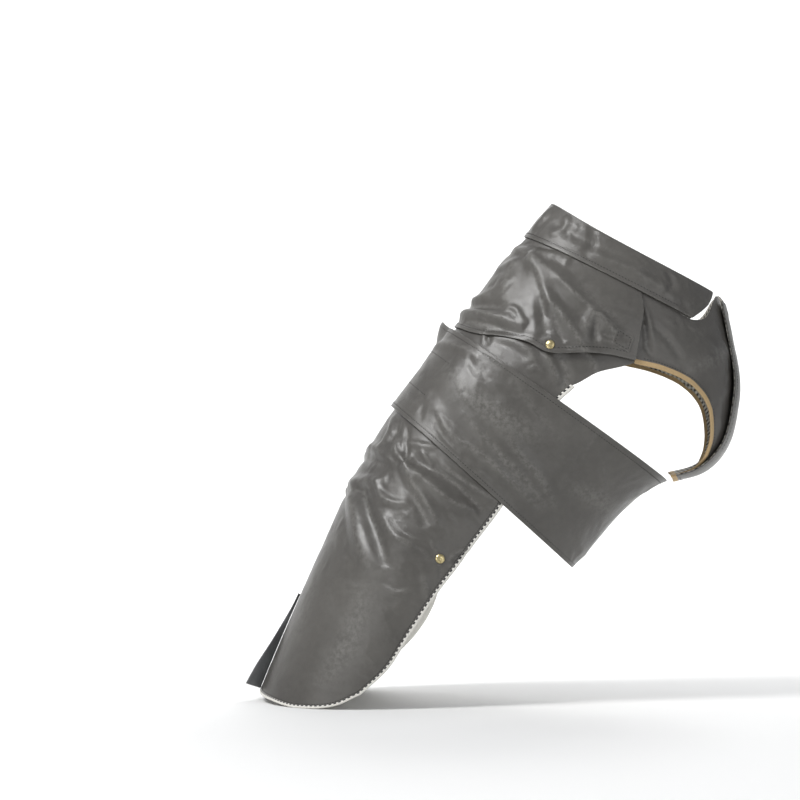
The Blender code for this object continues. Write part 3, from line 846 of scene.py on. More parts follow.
class Groups:
    """The effects that several finishes share, each a node group that is made once."""

    @staticmethod
    def made(
        name: str, inputs: dict[str, tuple[str, object]], outputs: Sequence[str]
    ) -> tuple[bpy.types.NodeTree, Nodes | None, bpy.types.Node | None, bpy.types.Node | None]:
        """A node group with its sockets, or the one of that name if there is one.

        Args:
            name: the group's name.
            inputs: the type and default of each input.
            outputs: the names of its number outputs.

        Returns:
            The group, its nodes' wrapper and its two end nodes, or the group and three Nones.
        """
        group = bpy.data.node_groups.get(name)
        if group:
            return group, None, None, None
        group = bpy.data.node_groups.new(name, "ShaderNodeTree")
        for label, (kind, default) in inputs.items():
            made = group.interface.new_socket(label, in_out="INPUT", socket_type=f"NodeSocket{kind}")
            if default is not None:
                made.default_value = default
        for label in outputs:
            group.interface.new_socket(label, in_out="OUTPUT", socket_type="NodeSocketFloat")
        nodes = Nodes(group)
        return group, nodes, nodes.add("NodeGroupInput"), nodes.add("NodeGroupOutput")

    @classmethod
    def weave(cls) -> bpy.types.NodeTree:
        """Plain weave: |sin| ribs of warp and weft, each on top in every other crossing.

        Returns:
            The group. It takes metres along the cloth and the thread pitch, and gives a height.
        """
        inputs = {"Cloth": ("Vector", None), "Pitch": ("Float", 0.0006)}
        group, nodes, start, end = cls.made("plain_weave", inputs, ["Height"])
        if nodes is None:
            return group
        parts = nodes.add("SeparateXYZ", {0: start.outputs["Cloth"]})
        turns = [
            nodes.math("DIVIDE", nodes.math("MULTIPLY", parts.outputs[i], math.pi), start.outputs["Pitch"])
            for i in (0, 1)
        ]
        waves = [nodes.math("SINE", turn) for turn in turns]
        ribs = [nodes.math("ABSOLUTE", wave) for wave in waves]
        over = nodes.math("GREATER_THAN", nodes.math("MULTIPLY", *waves), 0.0)
        under = nodes.math("SUBTRACT", 1.0, over)
        height = nodes.math(
            "ADD", nodes.math("MULTIPLY", ribs[0], over), nodes.math("MULTIPLY", ribs[1], under)
        )
        nodes.put(end.inputs["Height"], height)
        return group

    @classmethod
    def mottle(cls) -> bpy.types.NodeTree:
        """Uneven wax: a broad noise and a finer one, as the share of a second colour.

        Returns:
            The group. It takes a place in metres, and gives a broad and a fine number.
        """
        inputs = {"Place": ("Vector", None)}
        group, nodes, start, end = cls.made("uneven_wax", inputs, ["Broad", "Fine"])
        if nodes is None:
            return group
        broad = nodes.noise(start.outputs["Place"], 9.0, 4.0)
        fine = nodes.noise(start.outputs["Place"], 95.0, 5.0, 0.65)
        nodes.put(end.inputs["Broad"], nodes.between(broad, 0.32, 0.70))
        nodes.put(end.inputs["Fine"], nodes.between(fine, 0.30, 0.72))
        return group

    @classmethod
    def wear(cls) -> bpy.types.NodeTree:
        """Rubbed wax and painted highlight on creases and edges: the crest mask, broken up by a fine noise.

        Returns:
            The group. It takes the mask and a place in metres, and gives the share of paling: rubbed wax
            and painted highlight.
        """
        inputs = {"Mask": ("Float", 0.0), "Place": ("Vector", None), "Amount": ("Float", 1.0)}
        group, nodes, start, end = cls.made("rubbed_crests", inputs, ["Share"])
        if nodes is None:
            return group
        noise = nodes.noise(start.outputs["Place"], 160.0, 4.0, 0.7)
        broken = nodes.between(noise, 0.34, 0.66)
        share = nodes.math(
            "MULTIPLY", nodes.math("MULTIPLY", start.outputs["Mask"], broken), start.outputs["Amount"]
        )
        nodes.put(end.inputs["Share"], nodes.math("MINIMUM", share, 1.0))
        return group

    @classmethod
    def check(cls) -> bpy.types.NodeTree:
        """A woven check: two square waves across each other, each of them half the pattern's size.

        Returns:
            The group. It takes metres along the cloth and the pattern's size, and gives the share
            of dark yarn: 0, a half or 1.
        """
        inputs = {"Cloth": ("Vector", None), "Size": ("Float", 0.006)}
        group, nodes, start, end = cls.made("woven_check", inputs, ["Dark"])
        if nodes is None:
            return group
        parts = nodes.add("SeparateXYZ", {0: start.outputs["Cloth"]})
        bars = [
            nodes.math(
                "GREATER_THAN",
                nodes.math("FRACT", nodes.math("DIVIDE", parts.outputs[i], start.outputs["Size"])),
                0.5,
            )
            for i in (0, 1)
        ]
        nodes.put(end.inputs["Dark"], nodes.math("MULTIPLY", nodes.math("ADD", *bars), 0.5))
        return group


Colour = tuple[float, float, float]


def with_alpha(colour: Colour) -> tuple[float, float, float, float]:
    """The colour as a socket takes it."""
    return (*colour, 1.0)


@dataclass(frozen=True)
class Finish:
    """What every finish has: a name, a colour, a roughness and a way to make its material."""

    name: str
    colour: Colour
    roughness: float
    coat: float = 0.0
    metallic: float = 0.0

    def material(self) -> bpy.types.Material:
        """The finish's material, made the first time that it is asked for."""
        found = bpy.data.materials.get(self.name)
        if found:
            return found
        made = bpy.data.materials.new(self.name)
        made.use_nodes = True
        shader = made.node_tree.nodes["Principled BSDF"]
        shader.inputs["Base Color"].default_value = with_alpha(self.colour)
        shader.inputs["Roughness"].default_value = self.roughness
        shader.inputs["Metallic"].default_value = self.metallic
        shader.inputs["Coat Weight"].default_value = self.coat
        self.dress(Nodes(made.node_tree), shader)
        return made

    def dress(self, nodes: Nodes, shader: bpy.types.Node) -> None:
        """Lays the finish's pattern on the shader. The plain finish has none.

        Args:
            nodes: the material's nodes.
            shader: its Principled BSDF.
        """

    @staticmethod
    def raise_by(
        nodes: Nodes,
        shader: bpy.types.Node,
        height: bpy.types.NodeSocket,
        metres: float,
        strength: float,
    ) -> None:
        """Puts a height through a Bump node into the shader's normal.

        Args:
            nodes: the material's nodes.
            shader: its Principled BSDF.
            height: the height, from 0 to 1.
            metres: how deep a height of 1 is.
            strength: the Bump node's strength.
        """
        bump = nodes.add("Bump", {"Height": height, "Distance": metres, "Strength": strength})
        nodes.put(shader.inputs["Normal"], bump.outputs[0])


@dataclass(frozen=True)
class WaxedCloth(Finish):
    """Proofed cotton: a tight weave under an uneven, half-glossy wax that pales on its creases and edges,
    partly as rubbed wax and partly as a painted highlight.
    """

    pale: Colour = (0.20, 0.195, 0.18)
    deep: Colour = (0.066, 0.062, 0.056)
    pitch: float = 0.0007
    # How strongly crests and edges are paled: rubbed wax and a painted highlight.
    rubbed: float = 0.5

    def dress(self, nodes: Nodes, shader: bpy.types.Node) -> None:
        """Mottles the colour and gloss, pales the crests and edges with rubbed wax and a painted highlight,
        and lifts the weave.

        Args:
            nodes: the material's nodes.
            shader: its Principled BSDF.
        """
        place = nodes.add("TexCoord").outputs["Object"]
        cloth = nodes.add("UVMap", uv_map="cloth").outputs[0]
        mask = nodes.add("Attribute", attribute_name="crest").outputs["Fac"]
        mottle = nodes.add("Group", node_tree=Groups.mottle(), inputs=None)
        nodes.put(mottle.inputs["Place"], place)
        wear = nodes.add("Group", node_tree=Groups.wear())
        for label, value in (("Mask", mask), ("Place", place), ("Amount", self.rubbed)):
            nodes.put(wear.inputs[label], value)
        weave = nodes.add("Group", node_tree=Groups.weave())
        nodes.put(weave.inputs["Cloth"], cloth)
        nodes.put(weave.inputs["Pitch"], self.pitch)
        broad, fine = mottle.outputs["Broad"], mottle.outputs["Fine"]
        blotch = nodes.math("ADD", nodes.math("MULTIPLY", broad, 0.65), nodes.math("MULTIPLY", fine, 0.35))
        colour = nodes.mix(blotch, with_alpha(self.deep), with_alpha(self.colour))
        # Crests and finished edges are paled towards the pale colour: partly rubbed wax, partly a painted
        # highlight.
        colour = nodes.mix(wear.outputs["Share"], colour, with_alpha(self.pale))
        nodes.put(shader.inputs["Base Color"], colour)
        gloss = nodes.between(blotch, 0.0, 1.0, self.roughness - 0.05, self.roughness + 0.07)
        worn = nodes.math("MULTIPLY", wear.outputs["Share"], 0.16)
        nodes.put(shader.inputs["Roughness"], nodes.math("ADD", gloss, worn))
        height = nodes.math(
            "ADD", nodes.math("MULTIPLY", weave.outputs[0], 0.22), nodes.math("MULTIPLY", fine, 0.78)
        )
        self.raise_by(nodes, shader, height, 0.00022, 0.55)


@dataclass(frozen=True)
class CheckCotton(Finish):
    """Brushed cotton with a small woven check."""

    dark: Colour = (0.018, 0.018, 0.020)
    size: float = 0.006
    pitch: float = 0.0008

    def dress(self, nodes: Nodes, shader: bpy.types.Node) -> None:
        """Draws the check by the cloth's own metres, and lifts its yarn.

        Args:
            nodes: the material's nodes.
            shader: its Principled BSDF.
        """
        cloth = nodes.add("UVMap", uv_map="cloth").outputs[0]
        place = nodes.add("TexCoord").outputs["Object"]
        check = nodes.add("Group", node_tree=Groups.check())
        nodes.put(check.inputs["Cloth"], cloth)
        nodes.put(check.inputs["Size"], self.size)
        weave = nodes.add("Group", node_tree=Groups.weave())
        nodes.put(weave.inputs["Cloth"], cloth)
        nodes.put(weave.inputs["Pitch"], self.pitch)
        fuzz = nodes.noise(place, 900.0, 3.0, 0.7)
        dark = nodes.math("MULTIPLY", check.outputs["Dark"], nodes.between(fuzz, 0.2, 0.8, 0.82, 1.0))
        colour = nodes.mix(dark, with_alpha(self.colour), with_alpha(self.dark))
        nodes.put(shader.inputs["Base Color"], colour)
        nodes.put(
            shader.inputs["Roughness"], nodes.between(fuzz, 0.2, 0.8, self.roughness - 0.06, self.roughness)
        )
        self.raise_by(nodes, shader, nodes.math("ADD", weave.outputs[0], fuzz), 0.00018, 0.7)


@dataclass(frozen=True)
class EdgeTape(Finish):
    """A folded tape: twill ribs across it, and dashes of dark yarn along its inner side."""

    dark: Colour = (0.018, 0.018, 0.020)
    dash: float = 0.0
    dash_at: float = 0.62
    rib: float = 0.0011

    def dress(self, nodes: Nodes, shader: bpy.types.Node) -> None:
        """Ribs the tape along its length, and darkens every other dash of its inner side.

        Args:
            nodes: the material's nodes.
            shader: its Principled BSDF.
        """
        cloth = nodes.add("UVMap", uv_map="cloth").outputs[0]
        place = nodes.add("TexCoord").outputs["Object"]
        parts = nodes.add("SeparateXYZ", {0: cloth})
        slope = nodes.math("ADD", parts.outputs[0], nodes.math("MULTIPLY", parts.outputs[1], 0.002))
        rib = nodes.math("ABSOLUTE", nodes.math("SINE", nodes.math("MULTIPLY", slope, math.pi / self.rib)))
        fuzz = nodes.noise(place, 700.0, 3.0, 0.7)
        tint = nodes.between(fuzz, 0.25, 0.75, 0.0, 0.22)
        # The yarn's own uneven tint, plus painted shade in the grooves between the twill ribs.
        shade = nodes.math("ADD", tint, nodes.math("MULTIPLY", nodes.math("SUBTRACT", 1.0, rib), 0.15))
        colour = nodes.mix(shade, with_alpha(self.colour), with_alpha(self.dark))
        if self.dash > 0:
            turn = nodes.math("FRACT", nodes.math("DIVIDE", parts.outputs[0], self.dash))
            inner = nodes.math("GREATER_THAN", parts.outputs[1], self.dash_at)
            share = nodes.math("MULTIPLY", nodes.math("GREATER_THAN", turn, 0.42), inner)
            colour = nodes.mix(share, colour, with_alpha(self.dark))
        nodes.put(shader.inputs["Base Color"], colour)
        nodes.put(
            shader.inputs["Roughness"], nodes.between(fuzz, 0.2, 0.8, self.roughness - 0.08, self.roughness)
        )
        self.raise_by(nodes, shader, nodes.math("ADD", rib, fuzz), 0.00015, 0.6)


@dataclass(frozen=True)
class PileTape(Finish):
    """Touch tape: a field of small hooks or loops, as a cell pattern with painted shade in the gaps between
    them.
    """

    cell: float = 1100.0
    deep: Colour = (0.008, 0.008, 0.009)

    def dress(self, nodes: Nodes, shader: bpy.types.Node) -> None:
        """Raises the cells' middles, darkens the gaps between them with painted shade, and dulls them.

        Args:
            nodes: the material's nodes.
            shader: its Principled BSDF.
        """
        place = nodes.add("TexCoord").outputs["Object"]
        cells = nodes.add("TexVoronoi", {"Vector": place, "Scale": self.cell}).outputs["Distance"]
        height = nodes.between(cells, 0.05, 0.6, 1.0, 0.0)
        # The gaps are darkened towards the deep colour: painted shade.
        nodes.put(
            shader.inputs["Base Color"], nodes.mix(height, with_alpha(self.deep), with_alpha(self.colour))
        )
        nodes.put(
            shader.inputs["Roughness"],
            nodes.between(height, 0.0, 1.0, self.roughness, self.roughness - 0.25),
        )
        self.raise_by(nodes, shader, height, 0.0005, 0.8)


@dataclass(frozen=True)
class AgedBrass(Finish):
    """Pressed brass: bright where it is rubbed, brown where it isn't, with fine scratches."""

    tarnish: Colour = (0.13, 0.095, 0.045)

    def dress(self, nodes: Nodes, shader: bpy.types.Node) -> None:
        """Browns the metal in blotches and scratches it finely.

        Args:
            nodes: the material's nodes.
            shader: its Principled BSDF.
        """
        place = nodes.add("TexCoord").outputs["Object"]
        blotch = nodes.between(nodes.noise(place, 420.0, 5.0, 0.6), 0.38, 0.70)
        stretched = nodes.add("Mapping", {"Vector": place, "Scale": (900.0, 5200.0, 900.0)}).outputs[0]
        scratch = nodes.noise(stretched, 1.0, 2.0, 0.5)
        share = nodes.math("MULTIPLY", blotch, 0.75)
        nodes.put(
            shader.inputs["Base Color"], nodes.mix(share, with_alpha(self.colour), with_alpha(self.tarnish))
        )
        rough = nodes.between(blotch, 0.0, 1.0, self.roughness, self.roughness + 0.22)
        nodes.put(
            shader.inputs["Roughness"], nodes.math("ADD", rough, nodes.math("MULTIPLY", scratch, 0.06))
        )
        self.raise_by(nodes, shader, scratch, 0.00003, 0.5)


@dataclass(frozen=True)
class Yarn(Finish):
    """Sewing thread or woven elastic: twisted plies across a fine fuzz."""

    ply: float = 0.0009
    dark: Colour = (0.35, 0.34, 0.31)

    def dress(self, nodes: Nodes, shader: bpy.types.Node) -> None:
        """Shades and raises the plies by the piece's own metres.

        Args:
            nodes: the material's nodes.
            shader: its Principled BSDF.
        """
        cloth = nodes.add("UVMap", uv_map="cloth").outputs[0]
        parts = nodes.add("SeparateXYZ", {0: cloth})
        slant = nodes.math("ADD", parts.outputs[0], nodes.math("MULTIPLY", parts.outputs[1], 0.7))
        ply = nodes.math("ABSOLUTE", nodes.math("SINE", nodes.math("MULTIPLY", slant, math.pi / self.ply)))
        # The grooves between the plies are darkened towards the dark colour: painted shade.
        shade = nodes.between(ply, 0.0, 0.5, 0.6, 0.0)
        nodes.put(
            shader.inputs["Base Color"], nodes.mix(shade, with_alpha(self.colour), with_alpha(self.dark))
        )
        nodes.put(
            shader.inputs["Roughness"], nodes.between(ply, 0.0, 1.0, self.roughness, self.roughness - 0.1)
        )
        self.raise_by(nodes, shader, ply, 0.0002, 0.7)


@dataclass(frozen=True)
class Bend:
    """A hinge that a cloth crosses, between the coat before `start` and the body after `end`. Applying it
    only bakes the piece's placement into its mesh; the piece is not bent and not put on the body.
    """

    body: str
    start: tuple[float, float]
    end: tuple[float, float]
    lift: float = 3 * MM

    def apply(self, piece: bpy.types.Object, side: Side) -> None:
        """Bakes a finished piece's placement into its mesh, without bending it between the coat and the
        body.

        Args:
            piece: the piece.
            side: the side that the two places lie on; not used.
        """
        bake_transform(piece)


@dataclass
class Cloth:
    """A sheet of cloth over the form, with its creases, its folded hems and its thickness.

    Its underside lies at lift(along, turn) plus the creases, and never under its floor. A hem
    thickens it by WELT to HEM_WIDTH from the edge, with a stitched groove near the hem's end.
    """

    name: str
    nodes: Sequence[str]
    places: Places
    lift: LiftRule
    thickness: float
    finish: Finish
    field: FoldField
    slot: str = "waxed_cloth"
    side: Side = Side.RIGHT
    body: str = "coat"
    bend: Bend | None = None
    hems: Sequence[Edge] = ()
    finished: Sequence[Edge] = tuple(Edge)
    follow: float = 1.0
    floor: LiftRule | None = None
    held: str = "draped"
    rests_on: Sequence[str] = ()

    WELT = 0.60 * MM
    HEM_WIDTH = 7.5 * MM
    GROOVE = 0.42 * MM
    STITCH_AT = 5.6 * MM

    def under(self, along: np.ndarray, turn: np.ndarray) -> np.ndarray:
        """The height of the underside: the lift plus the creases, kept over the floor.

        Args:
            along: metres down the spine.
            turn: degrees round from it.

        Returns:
            The height over the form at each place.
        """
        rise = self.field.height(along, turn)
        rise = np.where(rise > 0, rise * self.follow, rise)
        height = self.lift(along, turn) + rise
        return height if self.floor is None else np.maximum(height, self.floor(along, turn))

    def over(self, along: np.ndarray, turn: np.ndarray) -> np.ndarray:
        """The height of the outer face away from the hems."""
        return self.under(along, turn) + self.thickness

    @classmethod
    def welt(cls, distance: np.ndarray) -> np.ndarray:
        """A hem's extra height: a step that ends at HEM_WIDTH, less a round groove.

        Args:
            distance: metres from the edge.

        Returns:
            The extra height.
        """
        step = cls.WELT * (1 - ramp(distance, cls.HEM_WIDTH - 1.1 * MM, cls.HEM_WIDTH + 0.3 * MM))
        return step - cls.GROOVE * np.exp(-(((distance - cls.STITCH_AT) / (0.9 * MM)) ** 2))

    def build(self) -> bpy.types.Object:
        """Makes the piece, puts it on its body, or only bakes its placement where it has a bend, and hides
        the model's parts that it replaces.

        Returns:
            The piece.
        """
        along, turn = self.places.along, self.places.turn
        distances = self.places.distances()
        low = self.under(along, turn)
        high = low + self.thickness
        for edge in self.hems:
            high = high + self.welt(distances[edge])
        round_off = np.ones_like(low)
        for edge in self.finished:
            share = np.clip(distances[edge] / (0.55 * self.thickness), 0, 1)
            round_off = np.minimum(round_off, 0.3 + 0.7 * np.sqrt(1 - (1 - share) ** 2))
        middle, half = (high + low) / 2, (high - low) / 2 * round_off
        flip = np.array((1, self.side.value, 1))
        outer = FORM.lifted(along, turn, middle + half) * flip
        inner = FORM.lifted(along, turn, middle - half) * flip
        centre = tuple(size // 2 for size in low.shape)
        towards = FORM.outward(along[centre], turn[centre]) * flip
        points, faces = Shapes.slab(outer, inner, towards)
        flat = self.places.flat()
        uv = np.tile(flat.reshape(-1, 2), (2, 1))
        crest = np.tile(self.crest(distances).ravel(), 2)
        piece = Shapes.mesh_object(self.name, points, faces, self.finish.material(), uv, {"crest": crest})
        if self.bend:
            self.bend.apply(piece, self.side)
        else:
            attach(piece, self.body)
        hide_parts(*self.nodes)
        return piece

    def crest(self, distances: dict[Edge, np.ndarray]) -> np.ndarray:
        """Where the cloth is paled, partly by rubbed wax and partly by a painted highlight: its creases'
        crests, and a thin line at each finished edge.

        Args:
            distances: metres to each edge.

        Returns:
            The mask from 0 to 1 at each point.
        """
        mask = self.field.shape(self.places.along, self.places.turn)[1]
        # A thin pale line along each finished edge: rubbed wax and a painted edge highlight.
        for edge in self.finished:
            mask = np.maximum(mask, 0.9 * np.exp(-((distances[edge] / (0.9 * MM)) ** 2)))
        return mask

    def declare(self, piece: bpy.types.Object, extra: Sequence[bpy.types.Object] = ()) -> None:
        """Works out the sheet's flat size and its area on the form, and keeps neither.

        Args:
            piece: the built piece; not used.
            extra: the pieces sewn on it; not used.
        """
        flat = self.places.flat()
        points = FORM.on(self.places.along, self.places.turn)
        cells = np.cross(points[1:, 1:] - points[:-1, :-1], points[1:, :-1] - points[:-1, 1:])
        area = float(np.linalg.norm(cells, axis=-1).sum() / 2)
        area = round(area, 5)


@dataclass
class Stitching:
    """Rows of lockstitch on a cloth: one small bar for each stitch, its ends dipped in the cloth.

    A bar is a lens: at a share t from -1 to 1 of its half length its ring has the radius
    r·√(1 - t²) and its middle stands h·(1 - t²) - h/3 over the cloth.
    """

    pitch: float = 3.6 * MM
    length: float = 2.7 * MM
    radius: float = 0.46 * MM
    rise: float = 0.22 * MM

    def along_lines(
        self,
        name: str,
        cloth: Cloth,
        lines: Sequence[np.ndarray],
        finish: Finish,
        extra_lift: Callable[[np.ndarray], np.ndarray] | float = 0.0,
    ) -> bpy.types.Object:
        """Sews rows of stitches on a cloth.

        Args:
            name: the piece's name.
            cloth: the cloth that they hold.
            lines: the rows' places on the form.
            finish: the thread's finish.
            extra_lift: the height of a hem at the rows, over the plain cloth.

        Returns:
            The stitches, as one piece.
        """
        middles, ahead, up = [], [], []
        flip = np.array((1, cloth.side.value, 1))
        for line in lines:
            count = max(int(run_length(line) / self.pitch), 1)
            at = (np.arange(count) + 0.5) / count
            centre, behind, front = (
                rail(line, at + step, False) for step in (0, -0.2 / count, 0.2 / count)
            )
            lift = cloth.over(centre[:, 0], centre[:, 1]) + extra_lift
            middles.append(FORM.lifted(centre[:, 0], centre[:, 1], lift) * flip)
            ends = [
                FORM.lifted(part[:, 0], part[:, 1], cloth.over(part[:, 0], part[:, 1])) * flip
                for part in (behind, front)
            ]
            ahead.append(unit(ends[1] - ends[0]))
            up.append(FORM.outward(centre[:, 0], centre[:, 1]) * flip)
        middle, forward, up = (np.concatenate(part)[:, None, None] for part in (middles, ahead, up))
        across = unit(np.cross(up, forward))
        up = np.cross(forward, across)
        t = np.array([-1.0, -0.86, 0.0, 0.86, 1.0])[None, :, None, None]
        angle = np.linspace(0, 2 * math.pi, 6, endpoint=False)[None, None, :, None]
        radius = self.radius * np.sqrt(np.clip(1 - t**2, 0.03, 1))
        height = self.rise * (1 - t**2) - self.rise / 3 + radius * np.sin(angle) * 0.8
        points = middle + forward * (t * self.length / 2) + across * (radius * np.cos(angle)) + up * height
        number, rings, around = points.shape[:3]
        single, faces = Shapes.tube(points[0])
        shift = (np.arange(number) * rings * around)[:, None, None]
        faces = [(part[None] + shift).reshape(-1, part.shape[-1]) for part in faces]
        run = np.broadcast_to(t * self.length / 2, points.shape[:3] + (1,))
        uv = np.concatenate([run, np.broadcast_to(angle * self.radius, run.shape)], -1).reshape(-1, 2)
        piece = Shapes.mesh_object(name, points.reshape(-1, 3), faces, finish.material(), uv, sharp=70)
        if cloth.bend:
            cloth.bend.apply(piece, cloth.side)
        else:
            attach(piece, cloth.body)
        LOG.info("%s: %d stitches", name, number)
        return piece


@dataclass(frozen=True)
class Finishes:
    """The coat's finishes."""

    waxed: Finish = WaxedCloth("waxed_cloth_brown_grey", (0.094, 0.089, 0.080), 0.34)
    # A lighter, bluer copy of the waxed cloth for the vent flap: painted light from the pale floor, which
    # falls into the shaded gap by the flap.
    faded: Finish = WaxedCloth(
        "waxed_cloth_faded", (0.235, 0.240, 0.245), 0.42, pale=(0.36, 0.36, 0.36), deep=(0.17, 0.175, 0.18)
    )
    lining: Finish = CheckCotton("check_cotton", (0.66, 0.63, 0.56), 0.86)
    hem_tape: Finish = EdgeTape("cream_hem_tape", (0.80, 0.78, 0.72), 0.80, dash=0.0065)
    tan_tape: Finish = EdgeTape("tan_twill_tape", (0.52, 0.37, 0.19), 0.72, dark=(0.20, 0.12, 0.05))
    touch: Finish = PileTape("touch_tape_pile", (0.055, 0.055, 0.058), 0.92)
    thread: Finish = Yarn(
        "dark_thread", (0.020, 0.019, 0.017), 0.66, dark=(0.008, 0.008, 0.007), ply=0.0006
    )
    elastic: Finish = Yarn("white_elastic", (0.84, 0.82, 0.76), 0.68, ply=0.0012)
    brass: Finish = AgedBrass("aged_brass", (0.66, 0.56, 0.30), 0.26, metallic=1.0)


FINISH = Finishes()
STITCH = Stitching()


